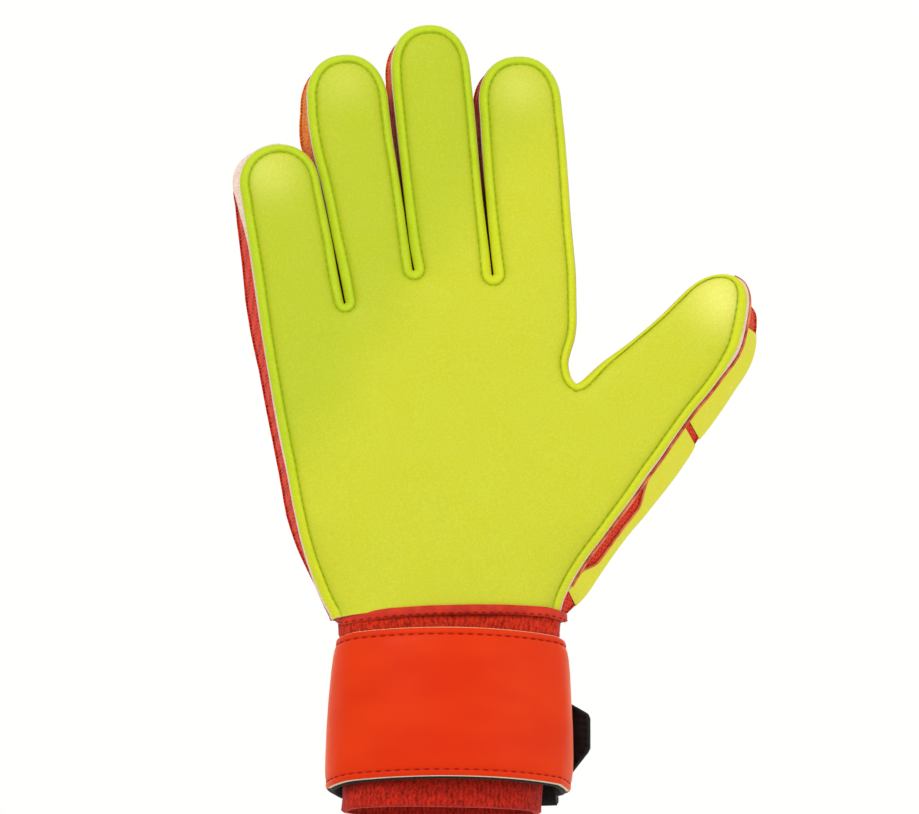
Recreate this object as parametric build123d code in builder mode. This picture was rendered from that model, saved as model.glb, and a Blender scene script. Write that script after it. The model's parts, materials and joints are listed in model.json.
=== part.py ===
from build123d import *
import os
from dataclasses import dataclass
from math import cos, degrees, atan2, hypot, radians, sin, tan

# Right-hand goalkeeper glove, flat-cut palm, hook-and-loop wrist strap.
# Millimetres. Fingers point to +Z, the palm faces -Y, the thumb lies towards +X.
# The origin is the centre of the wrist opening, at the bottom edge of the inner cuff.

os.makedirs("parts", exist_ok=True)

# ---- Layers of the hand, as Y levels from the palm to the backhand
PALM_FRONT = -13.0  # outer face of the latex
PALM_BACK = -8.0  # inner face of the latex and its foam backing
LINING_BACK = -7.2  # inner face of the thin palm lining
MESH_FRONT = 6.0  # inner face of the backhand mesh
MESH_BACK = 8.0  # outer face of the backhand mesh
PAD_BACK = 13.0  # outer face of the backhand foam pads

# ---- Seams
HEM = 3.0  # flat hem outside the seam that joins palm and gusset
GUSSET = 1.2  # thickness of the gusset mesh
PAD_INSET = 2.0  # the foam pads stop this far inside the mesh's edge
PAD_GAP = 1.0  # half of the gap between two pads, beyond the mesh's own parting line

# ---- Flexing
FLEX_PIVOT_Y = -8.5  # level of the finger hinges, just behind the latex
BASE_FLEX = 70.0  # largest angle at the base of a finger
TIP_FLEX = 80.0  # largest angle at the middle of a finger
SPARE = 0.3  # clearance added between bodies
BACK_GAP = 0.2  # half of the parting line behind the pivot
PIVOT_DEPTH = FLEX_PIVOT_Y - PALM_FRONT
BASE_GAP = PIVOT_DEPTH * tan(radians(BASE_FLEX / 2)) + SPARE
TIP_GAP = PIVOT_DEPTH * tan(radians(TIP_FLEX / 2)) + SPARE

# ---- Wrist
WRIST_PIVOT_Z = 66.0
ELASTIC_Z = (67.5, 71.0)
BINDING_Z = (71.0, 76.0)
PALM_BOTTOM = BINDING_Z[1]
ELASTIC_HALF = (42.0, 13.0)  # half width and half depth of the wrist elastic
BINDING_HALF = (44.0, 14.2)
BAND_WALL = 2.0

# ---- Cuff: every layer of it is an oval of four arcs, parallel to the strap's outer face
STRAP_HALF = (44.5, 26.0)  # half width and half depth of the strap's outer face
STRAP_SIDE_R = 16.0  # radius of the oval's side arcs
STRAP_Z = (9.0, 60.0)
TAIL_Z = (11.0, 58.0)
BANDAGE_Z = (0.0, 62.0)
COLLAR_Z = (52.0, 60.0)
COVER = (0.0, 1.0)  # depths below the strap's outer face
FOAM = (1.0, 4.0)
STRAP_LINING = (4.0, 4.8)
HOOK = (4.8, 5.3)
COLLAR = (4.85, 7.0)
LOOP = (5.8, 7.0)
BANDAGE = (7.0, 9.0)
HOOK_Z = (18.0, 50.0)
LOOP_Z = (13.0, 56.0)
TAIL_START = 178.0  # direction where the tail begins, beside the little-finger edge
TAIL_LEAVES = 66.0  # direction where the tail leaves the oval and runs straight on
TAIL_STRAIGHT = 20.5
TAB_LENGTH = 9.5
TAB_THICK = 1.8
TAB_ROOT_Z = (14.0, 40.0)
TAB_TIP_Z = (18.5, 33.0)

side_centre = STRAP_HALF[0] - STRAP_SIDE_R
narrow = STRAP_HALF[1] - STRAP_SIDE_R
broad_centre = (side_centre**2 - narrow**2) / (2 * narrow)
broad_r = STRAP_HALF[1] + broad_centre
corner_angle = degrees(atan2(broad_centre, side_centre))
reach = 2 * STRAP_HALF[0]  # larger than the cuff, for cutting it
FRONT_END = 7.0  # rise, out at reach, of the line where the strap's fixed part ends on the thumb side
LOOP_ENDS = (20.0, 25.0)  # the same for the loop panel, on the little-finger and the thumb side
HOOK_START = 110.0  # direction where the hook patch begins


@dataclass
class Finger:
    name: str
    hinge: tuple  # X and Z of the base hinge, on the finger's middle line
    lean: float  # degrees that the finger leans towards the little-finger side
    middle: float  # from the base hinge to the middle hinge
    length: float  # from the base hinge to the fingertip
    half: tuple  # half widths at the base hinge, the middle hinge and the round tip
    flare: tuple = (0.0, 0.0, 0.0)  # how far the backhand stands out on the outer side, there

    @property
    def plane(self):
        """The finger's own plane: local X across it, local Y along it, at Y = 0."""
        across = (cos(radians(self.lean)), 0, sin(radians(self.lean)))
        return Plane(origin=(self.hinge[0], 0, self.hinge[1]), x_dir=across, z_dir=(0, -1, 0))

    def point(self, across, along):
        """A point of the finger's plane as X and Z of the glove."""
        where = self.plane.from_local_coords(Vector(across, along, 0))
        return (where.X, where.Z)


FINGERS = [
    Finger("pinky", (-57.0, 197.0), 11.0, 22.0, 48.5, (13.6, 13.7, 13.7)),
    Finger("ring", (-29.6, 207.0), 7.6, 34.0, 71.0, (13.7, 13.8, 13.8)),
    Finger("middle", (-0.6, 209.0), 5.5, 38.0, 80.5, (13.8, 13.9, 13.9)),
    Finger("index", (30.7, 208.0), 5.0, 33.0, 70.0, (14.4, 14.4, 14.4)),
]
THUMB = Finger(
    "thumb", (69.9, 150.8), -44.0, 29.0, 58.5, (19.0, 15.4, 13.8), (11.5, 10.0, 6.0)
)

# ---- Edges of the hand, as X and Z, from the wrist upwards
PINKY_EDGE = [(-45.9, 76.0), (-54.0, 100.0), (-59.2, 124.0), (-64.0, 147.0), (-68.0, 171.0)]
INDEX_EDGE = [(46.4, 190.0), (46.6, 172.0), (47.4, 156.5)]
THUMB_EDGE = [(72.9, 123.6), (61.0, 105.8), (51.8, 94.0), (44.0, 82.1), (41.4, 76.0)]
THUMB_BACK_EDGE = [(82.2, 116.8), (70.3, 99.0), (60.0, 86.0), (48.5, 76.0)]
BACK_SPREAD = 2.0  # the backhand is this much wider on the little-finger side
KNUCKLE_LINE = 158.0  # height of the parting between the knuckle pad and the back pad
KNUCKLE_SHIFT = 1.5  # from the pad's corner below that line to its corner on it, across
LINING_LOW = PALM_BOTTOM + HEM
LINING_HIGH = FINGERS[0].hinge[1] - HEM
LINING_EDGE = [
    (-40.0, LINING_LOW),
    (-54.0, 124.0),
    (-61.0, LINING_HIGH - 20.0),
    (-61.0, LINING_HIGH),
    (41.0, LINING_HIGH),
    (41.0, 150.0),
    (62.0, 136.0),
    (38.0, LINING_LOW),
]
FLARE_RISE = 1 / 3  # share of its flare by which the backhand's thumb tip is longer
THUMB_WALL_DEPTH = 12.0  # width of the shape that the thumb's side wall is cut from


def save(piece, name):
    piece.part.label = name
    export_step(piece.part, f"parts/{name}.step")


def slab(name, plane, points, front, back):
    """A flat layer between two Y levels with a straight-sided outline."""
    with BuildPart() as layer:
        with BuildSketch(plane.offset(-front)):
            with BuildLine():
                Polyline(*points, close=True)
            make_face()
        extrude(amount=front - back)
    save(layer, name)


# ---- Fingers
def tip_face(finger, level, start, inset=0.0, flared=False):
    """The distal part of a finger at one Y level, stepped in all round by inset."""
    _, middle_half, tip_half = finger.half
    _, middle_flare, tip_flare = finger.flare if flared else (0.0, 0.0, 0.0)
    round_from = finger.length - tip_half
    left = (inset - tip_half, round_from)
    right = (tip_half + tip_flare - inset, round_from)
    apex = (tip_flare / 2, finger.length + tip_flare * FLARE_RISE - inset)
    with BuildSketch(finger.plane.offset(-level)) as outline:
        with BuildLine():
            Polyline(right, (middle_half + middle_flare - inset, start), (inset - middle_half, start), left)
            ThreePointArc(left, apex, right)
        make_face()
    return outline.sketch.face()


def tip_slab(name, finger, start, inset, front, back, flared=False):
    with BuildPart() as layer:
        extrude(tip_face(finger, front, start, inset, flared), amount=front - back)
    save(layer, name)


def tip_gusset(name, finger, start):
    """The mesh wall round a fingertip, from the palm seam to the backhand."""
    with BuildPart() as wall:
        for inset, begin, mode in ((HEM, start, Mode.ADD), (HEM + GUSSET, start - GUSSET, Mode.SUBTRACT)):
            low = tip_face(finger, PALM_BACK, begin, inset)
            high = tip_face(finger, MESH_FRONT, begin, inset, True)
            loft([low, high], ruled=True, mode=mode)
    save(wall, name)


def side_wall(plane, low_start, high_start, low_end, high_end, length):
    """One gusset wall along a finger, added to the part being built.

    The four numbers are the wall's outer face across the finger, at the palm and at the
    backhand, at the wall's start and end. The wall is on the side away from the middle.
    """
    inward = -GUSSET if low_start > 0 else GUSSET
    sections = []
    for along, low, high in ((0, low_start, high_start), (length, low_end, high_end)):
        along_plane = Plane(
            origin=plane.from_local_coords(Vector(0, along, 0)), x_dir=plane.x_dir, z_dir=plane.y_dir
        )
        with BuildSketch(along_plane) as section:
            with BuildLine():
                Polyline(
                    (low, PALM_BACK),
                    (low + inward, PALM_BACK),
                    (high + inward, MESH_FRONT),
                    (high, MESH_FRONT),
                    close=True,
                )
            make_face()
        sections.append(section.sketch.face())
    loft(sections, ruled=True)


def proximal_gusset(name, finger, start, end):
    """Both side walls of a finger between its two hinges."""
    base_half, middle_half, _ = finger.half
    base_flare, middle_flare, _ = finger.flare
    moved = Plane(
        origin=finger.plane.from_local_coords(Vector(0, start, 0)),
        x_dir=finger.plane.x_dir,
        z_dir=finger.plane.z_dir,
    )
    with BuildPart() as walls:
        side_wall(
            moved,
            base_half - HEM,
            base_half + base_flare - HEM,
            middle_half - HEM,
            middle_half + middle_flare - HEM,
            end - start,
        )
        side_wall(moved, HEM - base_half, HEM - base_half, HEM - middle_half, HEM - middle_half, end - start)
    save(walls, name)


def proximal_outline(finger, start, end, inset=0.0, flared=False):
    """The part of a finger between its hinges, as local points."""
    base_half, middle_half, _ = finger.half
    base_flare, middle_flare, _ = finger.flare if flared else (0.0, 0.0, 0.0)
    return [
        (inset - base_half, start),
        (base_half + base_flare - inset, start),
        (middle_half + middle_flare - inset, end),
        (inset - middle_half, end),
    ]


def make_finger(finger):
    """Eight pieces: palm, mesh back, foam pad and gusset of the two halves of a finger."""
    near, far = f"{finger.name}_proximal", f"{finger.name}_distal"
    plane = finger.plane
    back_start, back_end = BACK_GAP, finger.middle - BACK_GAP
    slab(
        f"{near}_palm",
        plane,
        proximal_outline(finger, BASE_GAP, finger.middle - TIP_GAP),
        PALM_FRONT,
        PALM_BACK,
    )
    slab(
        f"{near}_mesh",
        plane,
        proximal_outline(finger, back_start, back_end, 0.0, True),
        MESH_FRONT,
        MESH_BACK,
    )
    slab(
        f"{near}_pad",
        plane,
        proximal_outline(finger, back_start + PAD_GAP, back_end - PAD_GAP, PAD_INSET, True),
        MESH_BACK,
        PAD_BACK,
    )
    proximal_gusset(f"{near}_gusset", finger, back_start, back_end)
    tip_start = finger.middle + BACK_GAP
    tip_slab(f"{far}_palm", finger, finger.middle + TIP_GAP, 0.0, PALM_FRONT, PALM_BACK)
    tip_slab(f"{far}_mesh", finger, tip_start, 0.0, MESH_FRONT, MESH_BACK, True)
    tip_slab(f"{far}_pad", finger, tip_start + PAD_GAP, PAD_INSET, MESH_BACK, PAD_BACK, True)
    tip_gusset(f"{far}_gusset", finger, tip_start)


# ---- Hand
GLOVE_PLANE = Plane.XZ  # local X is the glove's X, local Y its Z, and the normal is -Y


def finger_corners(below):
    """The tops of the finger stubs, from the little finger to the index finger."""
    corners = []
    for finger in FINGERS:
        half = finger.half[0]
        corners += [finger.point(-half, -below), finger.point(half, -below)]
    return corners


def thumb_corners(below, flared=False):
    half = THUMB.half[0]
    flare = THUMB.flare[0] if flared else 0.0
    return [THUMB.point(-half, -below), THUMB.point(half + flare, -below)]


def spread(points, shift):
    return [(x + shift, z) for x, z in points]


def ribbon(points, width):
    """A strip on the inner side of a line of points, which runs with the hand on its right."""
    inner = []
    for i, (x, z) in enumerate(points):
        before = points[max(i - 1, 0)]
        after = points[min(i + 1, len(points) - 1)]
        run = hypot(after[0] - before[0], after[1] - before[1])
        inner.append((x + (after[1] - before[1]) / run * width, z - (after[0] - before[0]) / run * width))
    return inner


def hand_wall(name, edge, inset=HEM):
    """A gusset wall that follows an edge of the hand, one hem inside it."""
    outer = ribbon(edge, inset)
    inner = ribbon(edge, inset + GUSSET)
    slab(name, GLOVE_PLANE, outer + inner[::-1], PALM_BACK, MESH_FRONT)


def make_palm():
    outline = PINKY_EDGE + finger_corners(BASE_GAP) + INDEX_EDGE + thumb_corners(BASE_GAP) + THUMB_EDGE
    slab("palm_latex", GLOVE_PLANE, outline, PALM_FRONT, PALM_BACK)
    slab("palm_lining", GLOVE_PLANE, LINING_EDGE, PALM_BACK, LINING_BACK)


def make_backhand():
    left = spread(PINKY_EDGE, -BACK_SPREAD)
    outline = left + finger_corners(BACK_GAP) + INDEX_EDGE + thumb_corners(BACK_GAP, True) + THUMB_BACK_EDGE
    slab("backhand_mesh", GLOVE_PLANE, outline, MESH_FRONT, MESH_BACK)
    inner_left = ribbon(left, PAD_INSET)
    knuckles = [inner_left[3], inner_left[4]] + finger_corners(PAD_INSET) + spread(INDEX_EDGE, -PAD_INSET)[:2]
    knuckles[0] = (knuckles[0][0] - KNUCKLE_SHIFT, KNUCKLE_LINE + PAD_GAP)
    knuckles += [(INDEX_EDGE[2][0] - PAD_INSET, KNUCKLE_LINE + PAD_GAP)]
    slab("knuckle_pad", GLOVE_PLANE, knuckles, MESH_BACK, PAD_BACK)
    web = (INDEX_EDGE[2][0] - PAD_INSET, INDEX_EDGE[2][1] - PAD_INSET)
    thumb_left, thumb_right = thumb_corners(PAD_INSET, True)
    below_knuckles = KNUCKLE_LINE - PAD_GAP
    back = inner_left[:4] + [(knuckles[0][0], below_knuckles), (web[0], below_knuckles), web]
    back += [(thumb_left[0] + PAD_INSET, thumb_left[1] - PAD_INSET)]
    back += [(thumb_right[0] - PAD_INSET, thumb_right[1] + PAD_INSET)]
    back += [(x - PAD_INSET, z + PAD_INSET) for x, z in THUMB_BACK_EDGE]
    slab("backhand_pad", GLOVE_PLANE, back, MESH_BACK, PAD_BACK)


def make_hand_gussets():
    hand_wall("pinky_side_gusset", PINKY_EDGE + finger_corners(BACK_GAP)[:1])
    index_side = [finger_corners(BACK_GAP)[-1]] + INDEX_EDGE + thumb_corners(BACK_GAP)[:1]
    hand_wall("thumb_web_gusset", index_side)
    low_line = [thumb_corners(BACK_GAP)[1]] + THUMB_EDGE
    high_line = [thumb_corners(BACK_GAP, True)[1]] + THUMB_BACK_EDGE
    with BuildPart() as wall:
        for inset, mode in ((HEM, Mode.ADD), (HEM + GUSSET, Mode.SUBTRACT)):
            faces = []
            for level, line in ((PALM_BACK, low_line), (MESH_FRONT, high_line)):
                ends = ribbon([line[0], line[-1]], inset)
                far = ribbon([line[0], line[-1]], THUMB_WALL_DEPTH)
                with BuildSketch(GLOVE_PLANE.offset(-level)) as section:
                    with BuildLine():
                        Polyline(ends[0], ends[1], far[1], far[0], close=True)
                    make_face()
                faces.append(section.sketch.face())
            loft(faces, ruled=True, mode=mode)
    save(wall, "thumb_side_gusset")


def band(name, half, wall, levels):
    """A flat closed band with round sides."""
    with BuildPart() as loop:
        with BuildSketch(Plane.XY.offset(levels[0])):
            SlotOverall(2 * half[0], 2 * half[1])
            SlotOverall(2 * (half[0] - wall), 2 * (half[1] - wall), mode=Mode.SUBTRACT)
        extrude(amount=levels[1] - levels[0])
    save(loop, name)


# ---- Cuff and strap
def oval(depth):
    """The cuff's oval, that far below the strap's outer face."""
    side_r = STRAP_SIDE_R - depth
    wide_r = broad_r - depth
    half_turn = 180 - 2 * corner_angle
    with BuildSketch() as outline:
        with BuildLine():
            CenterArc((side_centre, 0), side_r, -corner_angle, 2 * corner_angle)
            CenterArc((0, -broad_centre), wide_r, corner_angle, half_turn)
            CenterArc((-side_centre, 0), side_r, 180 - corner_angle, 2 * corner_angle)
            CenterArc((0, broad_centre), wide_r, 180 + corner_angle, half_turn)
        make_face()
    return outline.sketch


def region(points):
    """A straight-sided flat region, for cutting an oval."""
    with BuildSketch() as outline:
        with BuildLine():
            Polyline(*points, close=True)
        make_face()
    return outline.sketch


def oval_layer(name, depths, levels, keep=None):
    """A layer of the cuff; keep is the outline of the part of it that exists."""
    with BuildPart() as layer:
        oval_solid(depths, levels, keep)
    save(layer, name)


def oval_solid(depths, levels, keep):
    """A stretch of the cuff's wall, added to the part being built."""
    with BuildSketch(Plane.XY.offset(levels[0])) as ring:
        add(oval(depths[0]))
        add(oval(depths[1]), mode=Mode.SUBTRACT)
        if keep:
            add(region(keep), mode=Mode.INTERSECT)
    extrude(ring.sketch, amount=levels[1] - levels[0])


FRONT = [(-reach, 0), (0, 0), (reach, FRONT_END), (reach, -reach), (-reach, -reach)]
BEHIND = [(-reach, LOOP_ENDS[0]), (0, 0), (reach, LOOP_ENDS[1]), (reach, reach), (-reach, reach)]


def tail_layer(name, depths, levels, begin=TAIL_START, straight=TAIL_STRAIGHT):
    """A layer of the strap's free end: round the back of the cuff, then straight on."""
    way = (sin(radians(TAIL_LEAVES)), -cos(radians(TAIL_LEAVES)))
    ends = []
    with BuildPart() as layer:
        with BuildSketch(Plane.XY.offset(levels[0])):
            with BuildLine():
                for depth in depths:
                    side = CenterArc(
                        (-side_centre, 0), STRAP_SIDE_R - depth, begin, 180 - corner_angle - begin
                    )
                    broad = CenterArc(
                        (0, -broad_centre),
                        broad_r - depth,
                        180 - corner_angle,
                        TAIL_LEAVES - 180 + corner_angle,
                    )
                    end = (broad @ 1) + Vector(*way) * straight
                    Line(broad @ 1, end)
                    ends += [side @ 0, end]
                Line(ends[0], ends[2])
                Line(ends[1], ends[3])
            make_face()
        extrude(amount=levels[1] - levels[0])
    save(layer, name)


def broad_patch(name, depths, levels, first, last):
    """A patch on the strap's broad back, between two directions."""
    with BuildPart() as patch:
        with BuildSketch(Plane.XY.offset(levels[0])):
            with BuildLine():
                outer = CenterArc((0, -broad_centre), broad_r - depths[0], first, last - first)
                inner = CenterArc((0, -broad_centre), broad_r - depths[1], first, last - first)
                Line(outer @ 0, inner @ 0)
                Line(outer @ 1, inner @ 1)
            make_face()
        extrude(amount=levels[1] - levels[0])
    save(patch, name)


def make_bandage():
    with BuildPart() as bandage:
        oval_solid(BANDAGE, BANDAGE_Z, None)
        oval_solid(COLLAR, COLLAR_Z, FRONT)
    save(bandage, "cuff_bandage")


def make_tab():
    way = Vector(sin(radians(TAIL_LEAVES)), -cos(radians(TAIL_LEAVES)), 0)
    out = Vector(cos(radians(TAIL_LEAVES)), sin(radians(TAIL_LEAVES)), 0)
    core = sum(FOAM) / 2
    origin = Vector(0, -broad_centre, 0) + out * (broad_r - core) + way * TAIL_STRAIGHT
    tab_plane = Plane(origin=origin, x_dir=way, z_dir=way.cross(Vector(0, 0, 1)))
    with BuildPart() as tab:
        with BuildSketch(tab_plane):
            with BuildLine():
                Polyline(
                    (0, TAB_ROOT_Z[0]),
                    (TAB_LENGTH, TAB_TIP_Z[0]),
                    (TAB_LENGTH, TAB_TIP_Z[1]),
                    (0, TAB_ROOT_Z[1]),
                    close=True,
                )
            make_face()
        extrude(amount=TAB_THICK / 2, both=True)
    save(tab, "pull_tab")


for one in FINGERS + [THUMB]:
    make_finger(one)

make_palm()
make_backhand()
make_hand_gussets()
band("wrist_binding", BINDING_HALF, BAND_WALL, BINDING_Z)
band("wrist_elastic", ELASTIC_HALF, BAND_WALL, ELASTIC_Z)

make_bandage()
oval_layer("strap_cover", COVER, STRAP_Z, FRONT)
oval_layer("strap_foam", FOAM, STRAP_Z, FRONT)
oval_layer("strap_lining", STRAP_LINING, STRAP_Z, FRONT)
oval_layer("loop_panel", LOOP, LOOP_Z, BEHIND)

tail_layer("tail_cover", COVER, TAIL_Z)
tail_layer("tail_foam", FOAM, TAIL_Z)
tail_layer("tail_lining", STRAP_LINING, TAIL_Z)
broad_patch("hook_patch", HOOK, HOOK_Z, TAIL_LEAVES, HOOK_START)
make_tab()
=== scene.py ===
"""Looks of a right-hand goalkeeper glove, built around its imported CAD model.

Lengths are in millimetres until an object is made, and angles in degrees.
The palm faces -Y, the fingers point to +Z and the thumb lies towards +X.
"""

import json
import math

import bpy
import numpy as np
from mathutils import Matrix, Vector
from mathutils.geometry import delaunay_2d_cdt


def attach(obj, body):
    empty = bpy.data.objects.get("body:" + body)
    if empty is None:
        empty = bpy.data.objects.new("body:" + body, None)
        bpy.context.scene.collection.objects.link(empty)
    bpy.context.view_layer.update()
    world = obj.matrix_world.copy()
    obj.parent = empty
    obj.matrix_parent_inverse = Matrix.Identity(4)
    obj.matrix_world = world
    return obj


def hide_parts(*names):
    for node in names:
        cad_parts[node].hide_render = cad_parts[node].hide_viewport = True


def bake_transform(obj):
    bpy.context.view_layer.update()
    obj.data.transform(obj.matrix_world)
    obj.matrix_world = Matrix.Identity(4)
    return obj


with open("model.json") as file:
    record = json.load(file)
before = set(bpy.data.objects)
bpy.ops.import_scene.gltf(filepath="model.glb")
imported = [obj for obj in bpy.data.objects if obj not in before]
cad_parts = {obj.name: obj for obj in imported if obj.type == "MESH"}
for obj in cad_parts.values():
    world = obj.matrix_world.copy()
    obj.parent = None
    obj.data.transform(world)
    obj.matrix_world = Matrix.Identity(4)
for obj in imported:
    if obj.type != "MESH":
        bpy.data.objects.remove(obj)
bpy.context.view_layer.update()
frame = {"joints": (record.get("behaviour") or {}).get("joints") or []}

MM = 0.001


def cos(degrees):
    return np.cos(np.radians(degrees))


def sin(degrees):
    return np.sin(np.radians(degrees))


def smooth(value, low, high):
    """0 below low, 1 above high, and a soft step between."""
    t = np.clip((np.asarray(value, float) - low) / (high - low), 0, 1)
    return t * t * (3 - 2 * t)


def unit(vectors):
    vectors = np.asarray(vectors, float)
    return vectors / np.maximum(np.linalg.norm(vectors, axis=-1, keepdims=True), 1e-9)


# ---------------------------------------------------------------- camera, light and stage
CAMERA_AZIMUTH = -8.0
CAMERA_ELEVATION = -9.0
CAMERA_DISTANCE = 4000.0
VIEW_WIDTH = 336.0  # millimetres of the glove's plane across the picture
SENSOR = 36.0
TARGET = (3.9, -10.0, 149.0)


def make_camera():
    data = bpy.data.cameras.new("camera")
    camera = bpy.data.objects.new("camera", data)
    bpy.context.scene.collection.objects.link(camera)
    back = Vector(
        (
            sin(CAMERA_AZIMUTH) * cos(CAMERA_ELEVATION),
            -cos(CAMERA_AZIMUTH) * cos(CAMERA_ELEVATION),
            sin(CAMERA_ELEVATION),
        )
    )
    camera.location = (Vector(TARGET) + back * CAMERA_DISTANCE) * MM
    camera.rotation_mode = "QUATERNION"
    camera.rotation_quaternion = (-back).to_track_quat("-Z", "Y")
    data.sensor_width = SENSOR
    data.lens = SENSOR * CAMERA_DISTANCE / VIEW_WIDTH
    data.clip_start = 0.01
    data.clip_end = 40.0
    bpy.context.scene.camera = camera


def area_light(name, place, aim, size, watts):
    data = bpy.data.lights.new(name, "AREA")
    data.shape = "DISK"
    data.size = size
    data.energy = watts
    light = bpy.data.objects.new(name, data)
    bpy.context.scene.collection.objects.link(light)
    light.location = place
    light.rotation_mode = "QUATERNION"
    light.rotation_quaternion = (Vector(aim) - Vector(place)).to_track_quat("-Z", "Y")


def make_light():
    world = bpy.data.worlds.new("studio")
    bpy.context.scene.world = world
    world.use_nodes = True
    background = world.node_tree.nodes["Background"]
    background.inputs["Color"].default_value = (1.0, 1.0, 0.985, 1.0)
    background.inputs["Strength"].default_value = 1.0
    middle = (0.0, 0.0, 0.15)
    area_light("key", (-0.7, -1.2, 1.1), middle, 0.9, 11.0)
    area_light("fill", (1.0, -1.1, 0.3), middle, 1.0, 4.0)
    area_light("rim", (0.4, 1.3, 0.9), middle, 0.9, 9.0)


def make_floor():
    """A wide round floor, far enough below the glove not to be seen behind it."""
    radius, drop, count = 16.0, -0.75, 48  # metres, and corners
    mesh = bpy.data.meshes.new("floor")
    turns = [360.0 * n / count for n in range(count)]
    corners = [(radius * float(cos(turn)), radius * float(sin(turn)), drop) for turn in turns]
    mesh.from_pydata(corners, [], [range(count)])
    floor = bpy.data.objects.new("floor", mesh)
    bpy.context.scene.collection.objects.link(floor)
    material = bpy.data.materials.new("floor")
    material.use_nodes = True
    shader = material.node_tree.nodes["Principled BSDF"]
    shader.inputs["Base Color"].default_value = (0.9, 0.9, 0.89, 1.0)
    shader.inputs["Roughness"].default_value = 0.8
    mesh.materials.append(material)


# ---------------------------------------------------------------- materials
def rgb(red, green, blue):
    """A colour given as it looks on screen, 0 to 255, as linear light."""
    levels = []
    for value in (red, green, blue):
        v = value / 255
        levels.append(v / 12.92 if v <= 0.04045 else ((v + 0.055) / 1.055) ** 2.4)
    return (*levels, 1.0)


class Finish:
    """A procedural material. Its textures follow the rest position of the cloth, in millimetres."""

    def __init__(self, name, **shader):
        self.material = bpy.data.materials.new(name)
        self.material.use_nodes = True
        self.tree = self.material.node_tree
        self.shader = self.tree.nodes["Principled BSDF"]
        for key, value in shader.items():
            self.shader.inputs[key.replace("_", " ")].default_value = value
        self.rest = self.attribute("rest", "Vector")

    def attribute(self, name, output="Fac"):
        node = self.tree.nodes.new("ShaderNodeAttribute")
        node.attribute_name = name
        return node.outputs[output]

    def node(self, kind, output, inputs, **settings):
        node = self.tree.nodes.new("ShaderNode" + kind)
        for key, value in settings.items():
            setattr(node, key, value)
        for key, value in inputs.items():
            socket = node.inputs[key]
            if isinstance(value, bpy.types.NodeSocket):
                self.tree.links.new(value, socket)
            else:
                socket.default_value = value
        return node.outputs[output]

    def noise(self, size, detail=2.0, rough=0.5, vector=None):
        """Noise whose lumps are about size across, from 0 to 1."""
        inputs = {"Vector": vector or self.rest, "Scale": 1 / size, "Detail": detail, "Roughness": rough}
        return self.node("TexNoise", "Fac", inputs)

    def cells(self, size, feature="F1", vector=None, spread=1.0):
        inputs = {"Vector": vector or self.rest, "Scale": 1 / size, "Randomness": spread}
        return self.node("TexVoronoi", "Distance", inputs, feature=feature)

    def math(self, operation, a, b=0.0, c=0.0):
        return self.node("Math", 0, {0: a, 1: b, 2: c}, operation=operation)

    def remap(self, value, low, high, to_low=0.0, to_high=1.0):
        inputs = {0: value, 1: low, 2: high, 3: to_low, 4: to_high}
        return self.node("MapRange", 0, inputs, interpolation_type="SMOOTHSTEP")

    def mix(self, factor, a, b):
        inputs = {0: factor, 6: a, 7: b}
        return self.node("Mix", 2, inputs, data_type="RGBA")

    def stretched(self, x, y, z):
        return self.node("VectorMath", 0, {0: self.rest, 1: (x, y, z)}, operation="MULTIPLY")

    def bump(self, height, depth, strength=1.0, under=None):
        """A bump whose full height is depth millimetres."""
        inputs = {"Height": height, "Distance": depth * MM, "Strength": strength}
        if under:
            inputs["Normal"] = under
        return self.node("Bump", "Normal", inputs)

    def use(self, socket, value):
        self.tree.links.new(value, self.shader.inputs[socket])


def make_latex(name, main, painted_light, hem, seam):
    """Matt latex foam: fine pores, a slightly uneven colour with painted light that makes it paler lower down and
    towards the thumb side, a painted highlight on the fingertips, and a darker line along the seam, partly the
    seam's own colour and partly painted shade in its groove.
    """
    f = Finish(name, Roughness=0.62, Specular_IOR_Level=0.32)
    height = f.node("SeparateXYZ", "Z", {0: f.rest})
    side = f.node("SeparateXYZ", "X", {0: f.rest})
    # Painted light: the colour is mixed towards the paler one lower down and towards the thumb side, over a random
    # unevenness.
    uneven = f.math("MULTIPLY_ADD", f.noise(45, 2.0), 40.0, height)
    place = f.math("MULTIPLY_ADD", side, -1.5, uneven)
    tone = f.mix(f.remap(place, 265.0, 205.0), main, painted_light)
    # Painted highlight: the tint attribute mixes in a pale yellow on the fingertips.
    tone = f.mix(f.attribute("tint"), tone, rgb(226, 222, 112))
    edge = f.attribute("edge")
    # The hem takes the same painted light, paler lower down and towards the thumb side.
    hem = f.mix(f.remap(place, 265.0, 175.0), hem, rgb(192, 198, 14))
    tone = f.mix(f.remap(edge, 3.1, 2.5), tone, hem)
    # The darker line along the seam: partly the seam's own colour, partly painted shade in the seam's groove,
    # mottled by noise.
    from_seam = f.math("ABSOLUTE", f.math("SUBTRACT", edge, 3.0))
    stripe = f.math("SUBTRACT", 1.0, f.remap(from_seam, 0.0, 0.55))
    painted_shade = f.math("MULTIPLY", stripe, f.remap(f.noise(2.2, 2.0), 0.2, 0.6, 0.4, 0.8))
    tone = f.mix(painted_shade, tone, seam)
    specks = f.remap(f.noise(0.7, 3.0, 0.7), 0.42, 0.62, 0.94, 1.03)
    f.use("Base Color", f.node("HueSaturation", "Color", {"Color": tone, "Value": specks}))
    pores = f.bump(f.noise(0.55, 3.0, 0.65), 0.05, 0.7)
    f.use("Normal", f.bump(f.noise(6, 2.0), 0.25, 0.5, pores))
    f.use("Roughness", f.remap(f.noise(9, 2.0), 0.3, 0.7, 0.56, 0.72))
    return f.material


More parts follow.
